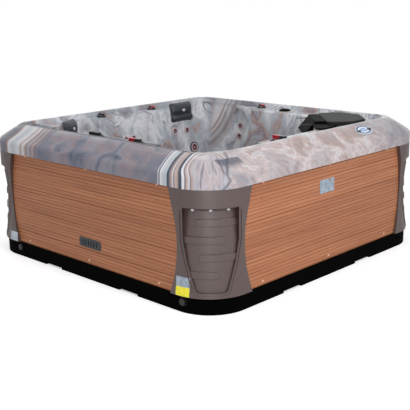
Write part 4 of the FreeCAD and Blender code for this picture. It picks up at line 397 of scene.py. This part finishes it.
def marbled_acrylic():
    paint = Paint("marbled_acrylic")
    place = paint.place
    axis = paint.parts(place)
    curl = paint.warped(paint.warped(place, *BROAD_DRIFT), *FINE_DRIFT)
    diagonal = paint.math("ADD", axis["X"], axis["Y"])
    wobble = paint.math("MULTIPLY_ADD", paint.streak(axis["Z"], *WOBBLE_NOISE), *SEAM_WOBBLE)
    past_seam = paint.math("ADD", diagonal, wobble)
    left_of_seam = paint.step(past_seam, *SEAM_LEFT)

    colour = cloudy_walls(paint, place, curl)
    colour = right_slope(paint, colour, axis, curl, left_of_seam)
    colour = front_slope(paint, colour, place, axis, curl, left_of_seam)
    colour = near_corner(paint, colour, place, axis, past_seam, left_of_seam)

    # Painted shadow: a dark grey line along the foot of the front crest, with less gloss
    crest_shadow_line = paint.together(
        paint.between(axis["Y"], *CREST_SHADOW_Y),
        paint.step(axis["Z"], *CREST_SHADOW_Z),
        paint.step(axis["X"], *CREST_SHADOW_X),
    )
    colour = paint.over(colour, OUTLINE_AND_SHADOW_GREY, crest_shadow_line, strength=0.85)
    # Painted shade: the deck ledge beside the crest's foot turned slate grey, with less gloss
    near_deck_shade = paint.together(paint.between(axis["Y"], *NEAR_DECK_SHADE_Y), paint.between(axis["Z"], *NEAR_DECK_SHADE_Z))
    colour = paint.over(colour, SLATE, near_deck_shade, strength=0.75)
    far_rims = paint.together(
        paint.step(paint.math("MAXIMUM", paint.negative(axis["X"]), axis["Y"]), *FAR_RIMS_OUT),
        paint.step(axis["Z"], *FAR_RIMS_Z),
        paint.between(diagonal, *FAR_RIMS_DIAGONAL),
    )
    colour = paint.over(colour, STEEL, far_rims, strength=0.35)
    gloss = paint.together(
        paint.step(axis["Z"], *GLOSS_Z, WELL_GLOSS, RIM_GLOSS),
        paint.step(crest_shadow_line, 0.0, 1.0, 1.0, CREST_SHADOW_GLOSS),
        paint.step(near_deck_shade, 0.0, 1.0, 1.0, NEAR_DECK_SHADE_GLOSS),
    )
    return paint.finish(Base_Color=colour, Roughness=0.14, Specular_IOR_Level=gloss)


# Timber look: horizontal grain, fine reeds between the plank grooves

REED_PITCH = 0.021
REED_VALLEY = 0.0016
PLANK_PITCH = 0.147
PLANK_START = 0.188
TEAK_STRETCH = (1.6, 1.6, 90.0)
TEAK_NOISE = (1.0, 4.0, 0.6)
TEAK_GRAIN = (
    (0.3, tone(136, 84, 54)), (0.45, tone(162, 101, 66)), (0.55, tone(172, 110, 74)),
    (0.7, tone(190, 128, 88)),
)
TEAK_PLANKS = ((0.3, tone(142, 88, 60)), (0.7, tone(176, 114, 80)))
TEAK_GROOVE = tone(96, 58, 40)


def timber_look():
    paint = Paint("timber_look")
    axis = paint.parts(paint.place)
    along = paint.vector("MULTIPLY", paint.place, TEAK_STRETCH)
    grain = paint.noise(paint.warped(along, scale=0.7, amount=0.5), *TEAK_NOISE)["Fac"]
    colour = paint.ramp(grain, TEAK_GRAIN)
    height = paint.math("SUBTRACT", axis["Z"], PLANK_START)
    plank = paint.math("FLOOR", paint.math("DIVIDE", height, PLANK_PITCH))
    colour = paint.mix(0.25, colour, paint.ramp(paint.streak(plank, scale=3.7, detail=0.0), TEAK_PLANKS))
    valley = paint.step(paint.math("PINGPONG", height, REED_PITCH / 2), REED_VALLEY, 0.0)
    colour = paint.over(colour, TEAK_GROOVE, valley, strength=0.55)
    relief = paint.math("ADD", paint.negative(valley), paint.math("MULTIPLY", grain, 0.3))
    reeds = paint.bump(relief, depth=0.0012, strength=0.6)
    return paint.finish(Base_Color=colour, Roughness=0.5, Normal=reeds)


def moulding_brown():
    paint = Paint("moulding_brown")
    grain = paint.noise(paint.place, scale=420.0, roughness=0.6)["Fac"]
    colour = paint.ramp(grain, ((0.3, tone(58, 42, 39)), (0.5, tone(72, 55, 52)), (0.72, tone(92, 73, 70))))
    roughness = paint.math("MULTIPLY_ADD", grain, 0.16, 0.3)
    skin = paint.bump(grain, depth=0.0004, strength=0.3)
    return paint.finish(Base_Color=colour, Roughness=roughness, Normal=skin, Specular_IOR_Level=0.9)


def speckled(name, dark, light, roughness, scale=300.0, depth=0.0003, **more):
    """Moulded plastic or painted surface with a fine uneven skin."""
    paint = Paint(name)
    grain = paint.noise(paint.place, scale, roughness=0.6)["Fac"]
    colour = paint.ramp(grain, ((0.35, dark), (0.65, light)))
    uneven = paint.math("MULTIPLY_ADD", grain, 0.12, roughness - 0.06)
    skin = paint.bump(grain, depth, strength=0.4)
    return paint.finish(Base_Color=colour, Roughness=uneven, Normal=skin, **more)


def raw_timber():
    paint = Paint("raw_timber")
    along = paint.vector("MULTIPLY", paint.place, (3.0, 3.0, 40.0))
    grain = paint.noise(along, scale=1.0, detail=4.0, roughness=0.6)["Fac"]
    colour = paint.ramp(grain, ((0.3, tone(176, 140, 96)), (0.7, tone(214, 182, 136))))
    fibres = paint.bump(grain, depth=0.0008, strength=0.4)
    return paint.finish(Base_Color=colour, Roughness=0.7, Normal=fibres)


def pleated_paper():
    paint = Paint("pleated_paper")
    fold = paint.add("TexWave", {"Vector": paint.place, "Scale": 60.0, "Distortion": 0.4}).outputs["Fac"]
    colour = paint.ramp(fold, ((0.1, tone(196, 202, 208)), (0.6, tone(238, 240, 242))))
    pleats = paint.bump(fold, depth=0.002, strength=0.5)
    return paint.finish(Base_Color=colour, Roughness=0.8, Normal=pleats)


SOFT_EDGE = 0.001
SIDE_EDGE = (-0.006, -0.004)
WORN_GREY = tone(90, 92, 98)


def two_tone(name, level, below, above, roughness, centre=(0, 0, 0), towards=(0, 0, 0)):
    """Plastic with another colour above a level, on one side of a centre."""
    paint = Paint(name)
    grain = paint.noise(paint.place, scale=240.0, detail=2.0)["Fac"]
    low = paint.mix(0.25, below, paint.ramp(grain, ((0.3, below), (0.7, WORN_GREY))))
    offset = paint.vector("SUBTRACT", paint.place, centre)
    side = paint.add("VectorMath", {0: offset, 1: towards}, operation="DOT_PRODUCT").outputs["Value"]
    high = paint.step(paint.parts(paint.place)["Z"], level - SOFT_EDGE, level + SOFT_EDGE)
    share = paint.together(high, paint.step(side, *SIDE_EDGE))
    return paint.finish(Base_Color=paint.mix(share, low, above), Roughness=roughness)


def ringed(name, centre, stops, half_sizes, roughness=0.3):
    """Colours in rings round a centre, by the distance from it divided by the half sizes along X and Y."""
    paint = Paint(name)
    stretch = (1 / half_sizes[0], 1 / half_sizes[1], 0)
    offset = paint.vector("MULTIPLY", paint.vector("SUBTRACT", paint.place, (*centre, 0)), stretch)
    grain = paint.noise(paint.place, scale=300.0, detail=2.0)["Fac"]
    speck = paint.math("MULTIPLY", paint.math("SUBTRACT", grain, 0.5), 0.02)
    level = paint.math("ADD", paint.distance(offset, (0, 0, 0)), speck)
    return paint.finish(Base_Color=paint.ramp(level, stops), Roughness=roughness)


# Finishes by name, and the nodes that take another one than their material's

RED = tone(168, 24, 36)
BLACK = tone(18, 19, 21)
BRIGHT_COPPER = tone(232, 190, 160)
TIMBER_BROWN = tone(166, 106, 74)
BOTTOM_SCREWS_BELOW = 0.4
SPEAKER_HALF = (0.07, 0.07)
SPEAKER_RINGS = (
    (0.0, BLACK), (0.6, BLACK), (0.66, tone(120, 116, 116)), (0.72, tone(180, 174, 172)),
    (1.0, tone(168, 160, 158)),
)
TOPSIDE_RINGS = (
    (0.0, tone(190, 206, 226)), (0.3, tone(120, 150, 196)), (0.42, tone(206, 218, 232)),
    (0.62, tone(214, 222, 232)), (0.68, tone(44, 70, 116)), (0.82, tone(52, 78, 124)),
    (0.86, tone(196, 202, 210)), (1.0, tone(170, 176, 184)),
)
FINISHES = {
    "acrylic": marbled_acrylic(),
    "timber_look": timber_look(),
    "moulding": moulding_brown(),
    "frame_timber": raw_timber(),
    "base": speckled("base_black", tone(0, 0, 0), tone(2, 2, 2), 0.8, Specular_IOR_Level=0.03),
    "dark_slate": speckled("dark_slate", tone(36, 40, 46), tone(50, 55, 62), 0.45),
    "black_plastic": speckled("black_plastic", tone(14, 15, 17), tone(26, 27, 30), 0.35),
    "pillow_foam": speckled("pillow_foam", tone(24, 29, 36), tone(36, 42, 50), 0.45, 420.0, 0.0005),
    "grey_plastic": speckled("grey_plastic", tone(150, 146, 146), tone(176, 170, 170), 0.3),
    "red_plastic": speckled("red_plastic", tone(120, 22, 32), tone(158, 36, 46), 0.22),
    "clear_lens": speckled("clear_lens", tone(196, 202, 206), tone(226, 230, 232), 0.15),
    "copper_screw": speckled("copper_screw", tone(140, 92, 68), tone(170, 116, 88), 0.35, Metallic=0.6),
    "foam_board": speckled("foam_board", tone(206, 210, 214), tone(232, 234, 236), 0.85),
    "white_pipe": speckled("white_pipe", tone(214, 216, 218), tone(234, 235, 236), 0.4),
    "filter_paper": pleated_paper(),
    "lid_plastic": speckled("lid_plastic", tone(30, 33, 32), tone(42, 46, 44), 0.5, Specular_IOR_Level=0.08),
    "hood_black": speckled("hood_black", tone(3, 3, 4), tone(10, 11, 12), 0.6, Specular_IOR_Level=0.04),
    "motor_paint": speckled("motor_paint", tone(52, 60, 70), tone(72, 80, 92), 0.45),
    "heater_steel": speckled("heater_steel", tone(150, 152, 156), tone(190, 192, 196), 0.3, Metallic=0.9),
    "box_paint": speckled("box_paint", tone(96, 102, 110), tone(118, 124, 132), 0.5),
    "nozzle_red": speckled("nozzle_red", tone(84, 18, 24), tone(112, 28, 34), 0.2),
    "dark_ring": speckled("dark_ring", tone(40, 38, 42), tone(58, 54, 60), 0.25),
    "pearl_ring": speckled("pearl_ring", tone(186, 170, 172), tone(212, 198, 200), 0.18),
    "sticker_white": speckled("sticker_white", tone(150, 162, 178), tone(196, 204, 214), 0.35, 60.0),
    "sticker_blue": speckled("sticker_blue", tone(128, 142, 156), tone(164, 176, 190), 0.3, 40.0),
    "sticker_yellow": speckled("sticker_yellow", tone(226, 214, 30), tone(244, 236, 70), 0.4, 60.0),
    "bright_screw": speckled("bright_screw", tone(226, 170, 140), tone(244, 200, 176), 0.3, Metallic=0.3),
}
SPECIAL = {
    "panel_screws": two_tone("screw_look", BOTTOM_SCREWS_BELOW, BRIGHT_COPPER, TIMBER_BROWN, 0.35),
    "skimmer_grille": FINISHES["hood_black"],
    "skimmer_hood": FINISHES["hood_black"],
    "skimmer_housing": FINISHES["dark_slate"],
    "weir_door": FINISHES["dark_slate"],
    "air_control_rings": FINISHES["black_plastic"],
    "air_control_knob_1": FINISHES["black_plastic"],
    "diverter_rings": FINISHES["dark_ring"],
    "diverter_knob_3": FINISHES["black_plastic"],
    "small_jet_faces": FINISHES["pearl_ring"],
    "deck_speaker": ringed("speaker_look", SPEAKER_AT, SPEAKER_RINGS, SPEAKER_HALF),
    "topside_panel": ringed("topside_look", TOPSIDE_AT, TOPSIDE_RINGS, TOPSIDE_HALF, 0.15),
}
for jet in ("far", "left", "mid", "near"):
    SPECIAL[f"large_jet_face_{jet}"] = FINISHES["pearl_ring"]
for number, (x, y) in enumerate(AIR_KNOBS[1:], start=2):
    SPECIAL[f"air_control_knob_{number}"] = two_tone(
        f"air_knob_{number}", KNOB_TOP, BLACK, RED, 0.2, (x, y, 0), (1, 0.2, 0))
for number, (x, y) in enumerate(DIVERTER_KNOBS[:2], start=1):
    SPECIAL[f"diverter_knob_{number}"] = two_tone(
        f"diverter_knob_{number}", KNOB_TOP, BLACK, RED, 0.2, (x, y, 0), (-1, 0, 0))


def dress_nodes():
    for subpart in frame["record"]["subparts"]:
        node = nodes[subpart["node"]]
        node.data.materials.clear()
        node.data.materials.append(SPECIAL.get(subpart["node"], FINISHES[subpart["material_slot"]]))


dress_nodes()


# Pieces made here: each is a mesh with one finish that rides on a body, in the slot of a recorded material


def add_piece(name, vertices, faces, finish, body="tub", smooth=True):
    mesh = bpy.data.meshes.new(name)
    mesh.from_pydata(vertices, [], faces)
    mesh.validate()
    mesh.update()
    for polygon in mesh.polygons:
        polygon.use_smooth = smooth
    mesh.materials.append(FINISHES[finish])
    piece = bpy.data.objects.new(name, mesh)
    bpy.context.scene.collection.objects.link(piece)
    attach(piece, body)
    return piece


def grid_faces(rows, columns, closed=False):
    """Quads between rows of points; a closed grid joins its last column to its first."""
    faces = []
    for row in range(rows - 1):
        for column in range(columns if closed else columns - 1):
            following = (column + 1) % columns
            faces.append((
                row * columns + column, row * columns + following,
                (row + 1) * columns + following, (row + 1) * columns + column,
            ))
    return faces


def wall_place(start, end, along_share, level, floor_level, lean_run):
    """Matrix on a leaning wall of the tub: Z points into the tub and X runs along the wall."""
    start, end = Vector((*start, 0)) * RIM_HALF, Vector((*end, 0)) * RIM_HALF
    run = end - start
    inward = Vector((-run.y, run.x, 0)).normalized()
    steepness = lean_run / (DECK_LEVEL - floor_level)
    origin = start + run * along_share + inward * steepness * (DECK_LEVEL - level) + Vector((0, 0, level))
    z_axis = (inward + Vector((0, 0, steepness))).normalized()
    y_axis = z_axis.cross(-run).normalized()
    x_axis = y_axis.cross(z_axis)
    return Matrix.Translation(origin) @ Matrix((x_axis, y_axis, z_axis)).transposed().to_4x4()


# Seat bays: two points of the back wall as shares of the rim's half width, and the seat's level

BAY_LEAN = 0.07
BAYS = {
    "far": ((-0.808, 0.808), (-0.808, 0.324), 0.420),
    "left": ((-0.808, -0.404), (-0.601, -0.808), 0.405),
    "near": ((0.601, -0.808), (0.808, -0.423), 0.410),
    "mid": ((-0.808, 0.178), (-0.808, -0.122), 0.450),
}


def bay_place(bay, along_share, level):
    start, end, floor_level = BAYS[bay]
    return wall_place(start, end, along_share, level, floor_level, BAY_LEAN)


def bay_place_by_share(bay, along_share, rise_share):
    floor_level = BAYS[bay][2]
    return bay_place(bay, along_share, floor_level + rise_share * (DECK_LEVEL - floor_level))


# Pillows: moulded foam with drawn-in sides, a crowned pad above and a rolled lip below, and a blank plate

PILLOW_WIDTHS = {"far": 0.24, "left": 0.19, "near": 0.24}
PILLOW_HEIGHT = 0.152
PILLOW_DEPTH = 0.045
PILLOW_LIFT = 0.001
PILLOW_ROWS, PILLOW_COLUMNS = 41, 49
PILLOW_CORNER = 0.22
PILLOWS = (("far", 0.505, 0.779), ("left", 0.28, 0.779), ("near", 0.5, 0.752))
PILLOW_PROFILE = (
    (-1.0, 0.32), (-0.86, 0.7), (-0.66, 0.96), (-0.46, 0.9), (-0.34, 0.62), (-0.26, 0.56), (-0.12, 0.72),
    (0.15, 0.86), (0.45, 0.84), (0.7, 0.72), (0.88, 0.5), (1.0, 0.24),
)
BADGE_HALF = (0.017, 0.011)
BADGE_RISE = 0.011
BADGE_EDGE, BADGE_CROWN = 0.0395, 0.0025
BADGE_RINGS, BADGE_COLUMNS = 6, 28


def blend_through(stops, level):
    for (low, first), (high, second) in zip(stops, stops[1:]):
        if level <= high:
            share = (level - low) / (high - low)
            share = share * share * (3 - 2 * share)
            return first + (second - first) * share
    return stops[-1][1]


def pillow_point(width, u, v):
    """A point of the pillow's front; u and v go from -1 to 1 across it and up it."""
    corner = max(0.0, abs(v) - (1 - PILLOW_CORNER)) / PILLOW_CORNER
    narrow = 1 - 0.05 * math.cos(v * math.pi / 2) - 0.16 * corner ** 2.2
    bow = 1 - 0.04 * math.cos(u * math.pi / 2)
    rim = (1 - abs(u) ** 5) ** 0.5 * (1 - abs(v) ** 7) ** 0.5
    crown = 1 - 0.16 * u * u
    depth = PILLOW_DEPTH * blend_through(PILLOW_PROFILE, v) * crown * rim
    return Vector((u * narrow * width / 2, v * bow * PILLOW_HEIGHT / 2, PILLOW_LIFT + depth))


def border_indices(rows, columns):
    """The grid's outermost points, once round."""
    border = list(range(columns))
    border += [row * columns + columns - 1 for row in range(1, rows)]
    border += [(rows - 1) * columns + column for column in range(columns - 2, -1, -1)]
    return border + [row * columns for row in range(rows - 2, 0, -1)]


def pillow(bay, along_share, level):
    place = bay_place(bay, along_share, level)
    front, back = [], []
    for row in range(PILLOW_ROWS):
        v = 2 * row / (PILLOW_ROWS - 1) - 1
        for column in range(PILLOW_COLUMNS):
            u = 2 * column / (PILLOW_COLUMNS - 1) - 1
            point = pillow_point(PILLOW_WIDTHS[bay], u, v)
            front.append(place @ point)
            back.append(place @ Vector((point.x, point.y, PILLOW_LIFT)))
    inner = grid_faces(PILLOW_ROWS, PILLOW_COLUMNS)
    total = len(front)
    faces = inner + [tuple(total + index for index in reversed(face)) for face in inner]
    border = border_indices(PILLOW_ROWS, PILLOW_COLUMNS)
    for index, corner in enumerate(border):
        following = border[(index + 1) % len(border)]
        faces.append((following, corner, total + corner, total + following))
    piece = add_piece(f"pillow_{bay}", front + back, faces, "pillow_foam")
    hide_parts(f"headrest_pillow_{bay}")
    return place


def badge(bay, place):
    """Blank oval plate on the pad of a pillow."""
    half_width, half_height = BADGE_HALF
    points = []
    for ring in range(BADGE_RINGS):
        share = (ring + 0.3) / (BADGE_RINGS - 0.7)
        lift = BADGE_EDGE + BADGE_CROWN * (1 - share ** 6)
        for column in range(BADGE_COLUMNS):
            angle = 2 * math.pi * column / BADGE_COLUMNS
            x, y = half_width * share * math.cos(angle), BADGE_RISE + half_height * share * math.sin(angle)
            points.append(place @ Vector((x, y, lift)))
    centre = len(points)
    points.append(place @ Vector((0, BADGE_RISE, BADGE_EDGE + BADGE_CROWN)))
    faces = grid_faces(BADGE_RINGS, BADGE_COLUMNS, closed=True)
    faces += [(centre, column, (column + 1) % BADGE_COLUMNS) for column in range(BADGE_COLUMNS)]
    add_piece(f"pillow_plate_{bay}", points, faces, "pearl_ring")


for bay, along_share, level in PILLOWS:
    badge(bay, pillow(bay, along_share, level))


# Trim of the jets: rings and nozzles turned about each jet's axis, as (radius, height) points

NOZZLE = (
    (0.0105, 0.001), (0.011, 0.0078), (0.013, 0.009), (0.0165, 0.0088), (0.0182, 0.0072), (0.0184, 0.0065),
)
EYE = (
    (0.0145, 0.001), (0.0152, 0.0078), (0.018, 0.0095), (0.0235, 0.0092), (0.0262, 0.0074), (0.0264, 0.0065),
)
COLLAR = (
    (0.0362, 0.0072), (0.0366, 0.0092), (0.0395, 0.0098), (0.0425, 0.0088), (0.0442, 0.0058),
    (0.0444, 0.0008),
)
SMALL_JETS = (
    ("far", 0.689, 0.522), ("far", 0.431, 0.5), ("left", 0.34, 0.543), ("left", 0.62, 0.543),
    ("near", 0.36, 0.537), ("near", 0.65, 0.537), ("mid", 0.38, 0.49), ("mid", 0.62, 0.49),
)
LARGE_JETS = (("far", 0.322, 0.153), ("left", 0.5, 0.266), ("near", 0.5, 0.257), ("mid", 0.5, 0.232))
ARCH_JETS = (0.593, 0.387)
ARCH_AT, ARCH_BACK = -0.392, 0.751 + 0.062 / RIM_HALF
ARCH_HALF = 0.1 / RIM_HALF
ARCH_SEAT_LEVEL, ARCH_FLOOR_LEVEL = 0.450, 0.480
ARCH_LEAN = 0.06


def lathe(name, place, profile, finish, body="tub", columns=40):
    points = []
    for radius, height in profile:
        for column in range(columns):
            angle = 2 * math.pi * column / columns
            points.append(place @ Vector((radius * math.cos(angle), radius * math.sin(angle), height)))
    add_piece(name, points, grid_faces(len(profile), columns, closed=True), finish, body)


def arch_place(rise_share):
    level = ARCH_SEAT_LEVEL + rise_share * (DECK_LEVEL - ARCH_SEAT_LEVEL)
    start, end = (ARCH_AT + ARCH_HALF, ARCH_BACK), (ARCH_AT - ARCH_HALF, ARCH_BACK)
    return wall_place(start, end, 0.5, level, ARCH_FLOOR_LEVEL, ARCH_LEAN)


nozzle_places = [bay_place_by_share(*shares) for shares in SMALL_JETS]
nozzle_places += [arch_place(share) for share in ARCH_JETS]
for number, place in enumerate(nozzle_places, start=1):
    lathe(f"jet_nozzle_{number}", place, NOZZLE, "nozzle_red")
for bay, along_share, rise_share in LARGE_JETS:
    place = bay_place_by_share(bay, along_share, rise_share)
    lathe(f"large_jet_eye_{bay}", place, EYE, "nozzle_red", f"large_jet_face_{bay}")
    lathe(f"large_jet_collar_{bay}", place, COLLAR, "dark_ring", f"large_jet_face_{bay}")


# Domed cap of the speaker, and the skimmer's sloping louvres and low side cover

SPEAKER_DOME = (
    (0.0, 0.0225), (0.012, 0.0222), (0.024, 0.0206), (0.034, 0.0172), (0.0405, 0.0118), (0.0425, 0.0072),
    (0.0425, 0.0066),
)
SKIMMER_TURN = Matrix.Rotation(-math.pi / 4, 4, "Z")
LOUVRE_TOP, LOUVRE_FOOT = Vector((0, 0.7235, 0.858)), Vector((0, 0.655, 0.775))
LOUVRE_HALF = 0.148
LOUVRE_COUNT = 7
LOUVRE_TILT = 0.3
LOUVRE_SECTION = (
    (-0.009, 0.0), (-0.007, 0.002), (0.007, 0.002), (0.009, 0.0), (0.007, -0.002), (-0.007, -0.002),
)
CHEEK = ((0.7235, 0.858), (0.655, 0.775), (0.706, 0.775), (0.7165, 0.836), (0.7225, 0.8445))
CHEEK_WIDTH = 0.004
COVER_OUTLINE = (
    (0.153, 0.709), (0.322, 0.709), (0.356, 0.73), (0.342, 0.77), (0.29, 0.815), (0.232, 0.862),
    (0.227, 0.789), (0.168, 0.789), (0.168, 0.7235), (0.153, 0.7235),
)
COVER_LAYERS = ((0.0, 0.0004), (0.0, 0.009), (0.03, 0.0115), (0.072, 0.0125))


def bar_along(points, faces, start, end, section, across, rise):
    """Adds a bar with the given section between two points, closed at both ends."""
    first = len(points)
    for place in (start, end):
        points += [place + across * a + rise * b for a, b in section]
    count = len(section)
    for index in range(count):
        following = (index + 1) % count
        faces.append((first + index, first + following, first + count + following, first + count + index))
    faces.append(tuple(first + index for index in reversed(range(count))))
    faces.append(tuple(first + count + index for index in range(count)))


def sloping_louvres():
    points, faces = [], []
    slope = LOUVRE_FOOT - LOUVRE_TOP
    level = Vector((1, 0, 0))
    tilt = (slope.normalized() + slope.normalized().cross(level) * LOUVRE_TILT).normalized()
    side = level * LOUVRE_HALF
    for number in range(LOUVRE_COUNT):
        middle = LOUVRE_TOP + slope * (number + 0.5) / LOUVRE_COUNT
        bar_along(points, faces, middle - side, middle + side, LOUVRE_SECTION, tilt, tilt.cross(level))
    for end in (-1, 1):
        start, thickness = side * end, level * CHEEK_WIDTH * end
        bar_along(points, faces, start, start + thickness, CHEEK, Vector((0, 1, 0)), Vector((0, 0, 1)))
    points = [SKIMMER_TURN @ point for point in points]
    add_piece("skimmer_louvres", points, faces, "hood_black", smooth=False)


def side_cover():
    """Low black cover on the deck beside the hood, crowned towards its middle."""
    outline = [Vector((x, y, 0)) for x, y in COVER_OUTLINE]
    middle = sum(outline, Vector()) / len(outline)
    points = []
    for share, rise in COVER_LAYERS:
        lift = Vector((0, 0, DECK_LEVEL + rise))
        points += [SKIMMER_TURN @ (corner.lerp(middle, share) + lift) for corner in outline]
    faces = grid_faces(len(COVER_LAYERS), len(outline), closed=True)
    top = len(points) - len(outline)
    faces.append(tuple(top + index for index in range(len(outline))))
    faces.append(tuple(reversed(range(len(outline)))))
    add_piece("skimmer_side_cover", points, faces, "hood_black", smooth=False)


lathe("speaker_dome", Matrix.Translation((*SPEAKER_AT, DECK_LEVEL)), SPEAKER_DOME, "hood_black")
sloping_louvres()
side_cover()


# Blank plates on the cabinet and small screws under the rim's lip

FOOT_RADIUS, WAIST_RADIUS, BROW_RADIUS = 0.269, 0.254, 0.270
FOOT_LEVEL, WAIST_LEVEL, BROW_LEVEL = 0.098, 0.348, 0.603
PANEL_FACE = 1.0401
PLATE_LIFT = 0.0006
PLATE_ROWS, PLATE_COLUMNS = 7, 9
SCREW_HEAD = ((0.0, 0.0032), (0.003, 0.003), (0.0055, 0.0018), (0.0065, 0.0), (0.0065, -0.0005))
SCREWS_ALONG = (-0.62, 0.0, 0.63)
SCREW_FACE = 1.04
SCREW_LEVEL = 0.694


def circle_through(first, second, third):
    """Centre and radius of the circle through three points."""
    (ax, ay), (bx, by), (cx, cy) = first, second, third
    d = 2 * (ax * (by - cy) + bx * (cy - ay) + cx * (ay - by))
    a, b, c = ax * ax + ay * ay, bx * bx + by * by, cx * cx + cy * cy
    x = (a * (by - cy) + b * (cy - ay) + c * (ay - by)) / d
    y = (a * (cx - bx) + b * (ax - cx) + c * (bx - ax)) / d
    return x, y, math.hypot(ax - x, ay - y)


HOLLOW = circle_through((FOOT_RADIUS, FOOT_LEVEL), (WAIST_RADIUS, WAIST_LEVEL), (BROW_RADIUS, BROW_LEVEL))


def moulding_front(x, z):
    """A place on the front of a front moulding, a little proud of it."""
    centre_x, centre_z, bend = HOLLOW
    radius = centre_x - math.sqrt(bend ** 2 - (z - centre_z) ** 2) + PLATE_LIFT
    past = max(0.0, abs(x) - CORNER_AT)
    return Vector((x, -CORNER_AT - math.sqrt(radius ** 2 - past ** 2), z))


def panel_front(y, z):
    """A place on the right panel, a little proud of it."""
    return Vector((PANEL_FACE + PLATE_LIFT, y, z))


def plate(name, corners, face, finish):
    """Thin blank plate between two corners, on a face given by a function."""
    (across_low, z_low), (across_high, z_high) = corners
    points = []
    for row in range(PLATE_ROWS):
        z = z_low + (z_high - z_low) * row / (PLATE_ROWS - 1)
        for column in range(PLATE_COLUMNS):
            across = across_low + (across_high - across_low) * column / (PLATE_COLUMNS - 1)
            points.append(face(across, z))
    add_piece(name, points, grid_faces(PLATE_ROWS, PLATE_COLUMNS), finish)


plate("corner_plate_low", ((0.783, 0.1), (0.876, 0.152)), moulding_front, "sticker_yellow")
plate("corner_plate_high", ((0.783, 0.152), (0.876, 0.208)), moulding_front, "sticker_blue")
plate("far_corner_plate", ((-0.83, 0.102), (-0.745, 0.162)), moulding_front, "sticker_white")
plate("side_plate", ((-0.099, 0.527), (0.045, 0.61)), panel_front, "sticker_blue")

for side in range(4):
    quarter = Matrix.Rotation(side * math.pi / 2, 4, "Z")
    for number, along in enumerate(SCREWS_ALONG):
        head = Matrix.Translation((along, -SCREW_FACE, SCREW_LEVEL)) @ Matrix.Rotation(math.pi / 2, 4, "X")
        lathe(f"lip_screw_{side}_{number}", quarter @ head, SCREW_HEAD, "bright_screw", columns=16)


# Floor, world and lamps

FLOOR_HALF = 30
FLOOR_FADE = (2.2, 4.0)
FLOOR_GLOW = 0.45
WORLD_FILL = 0.5
PURE_WHITE = (1, 1, 1, 1)
TUB_MIDDLE = (0, 0, 0.5)


def white_floor():
    """Pale floor that turns plain white away from the tub, where the camera sees it."""
    paint = Paint("white_floor")
    grain = paint.noise(paint.place, scale=3.0, detail=2.0)["Fac"]
    colour = paint.ramp(grain, ((0.4, tone(236, 236, 238)), (0.6, tone(240, 240, 241))))
    paint.finish(Base_Color=colour, Roughness=0.9, Specular_IOR_Level=0.0)
    surface = paint.shader.outputs[0]
    glow = paint.add("Emission", {"Color": PURE_WHITE, "Strength": FLOOR_GLOW}).outputs[0]
    near = paint.add("AddShader", {0: surface, 1: glow}).outputs[0]
    plain = paint.add("Emission", {"Color": PURE_WHITE, "Strength": 1.0}).outputs[0]
    far_off = paint.step(paint.distance(paint.place, (0, 0, 0)), *FLOOR_FADE)
    shown = paint.add("MixShader", {0: far_off, 1: near, 2: plain}).outputs[0]
    seen = paint.add("LightPath").outputs["Is Camera Ray"]
    blend = paint.add("MixShader", {0: seen, 1: surface, 2: shown}).outputs[0]
    paint.feed(paint.tree.nodes["Material Output"].inputs["Surface"], blend)
    return paint.material


def lay_floor():
    shape = bmesh.new()
    bmesh.ops.create_grid(shape, x_segments=4, y_segments=4, size=FLOOR_HALF)
    mesh = bpy.data.meshes.new("floor")
    shape.to_mesh(mesh)
    shape.free()
    floor = bpy.data.objects.new("floor", mesh)
    bpy.context.scene.collection.objects.link(floor)
    mesh.materials.append(white_floor())


def light_world():
    """White behind the tub and in its reflections, with a dimmer fill light."""
    world = bpy.data.worlds.new("studio")
    world.use_nodes = True
    bpy.context.scene.world = world
    tree = world.node_tree
    fill = tree.nodes["Background"]
    fill.inputs["Color"].default_value = PURE_WHITE
    fill.inputs["Strength"].default_value = WORLD_FILL
    seen = tree.nodes.new("ShaderNodeBackground")
    seen.inputs["Color"].default_value = PURE_WHITE
    seen.inputs["Strength"].default_value = 1
    path = tree.nodes.new("ShaderNodeLightPath")
    white = path.outputs["Is Camera Ray"]
    for other in ("Is Glossy Ray", "Is Transmission Ray"):
        either = tree.nodes.new("ShaderNodeMath")
        either.operation = "MAXIMUM"
        tree.links.new(white, either.inputs[0])
        tree.links.new(path.outputs[other], either.inputs[1])
        white = either.outputs[0]
    chosen = tree.nodes.new("ShaderNodeMixShader")
    tree.links.new(white, chosen.inputs[0])
    tree.links.new(fill.outputs[0], chosen.inputs[1])
    tree.links.new(seen.outputs[0], chosen.inputs[2])
    tree.links.new(chosen.outputs[0], tree.nodes["World Output"].inputs["Surface"])


def hang_lamp(name, place, size, power):
    light = bpy.data.lights.new(name, "AREA")
    light.size = size
    light.energy = power
    lamp = bpy.data.objects.new(name, light)
    bpy.context.scene.collection.objects.link(lamp)
    aim = Vector(TUB_MIDDLE) - Vector(place)
    lamp.matrix_world = Matrix.Translation(place) @ aim.to_track_quat("-Z", "Y").to_matrix().to_4x4()


lay_floor()
light_world()
hang_lamp("key_lamp", (5.5, -1.0, 3.8), 2.5, 150)
hang_lamp("top_lamp", (-1.0, -1.0, 5.5), 3.0, 75)
hang_lamp("front_lamp", (3.9, -4.3, 1.3), 0.8, 60)
bpy.context.scene.view_settings.view_transform = "Standard"
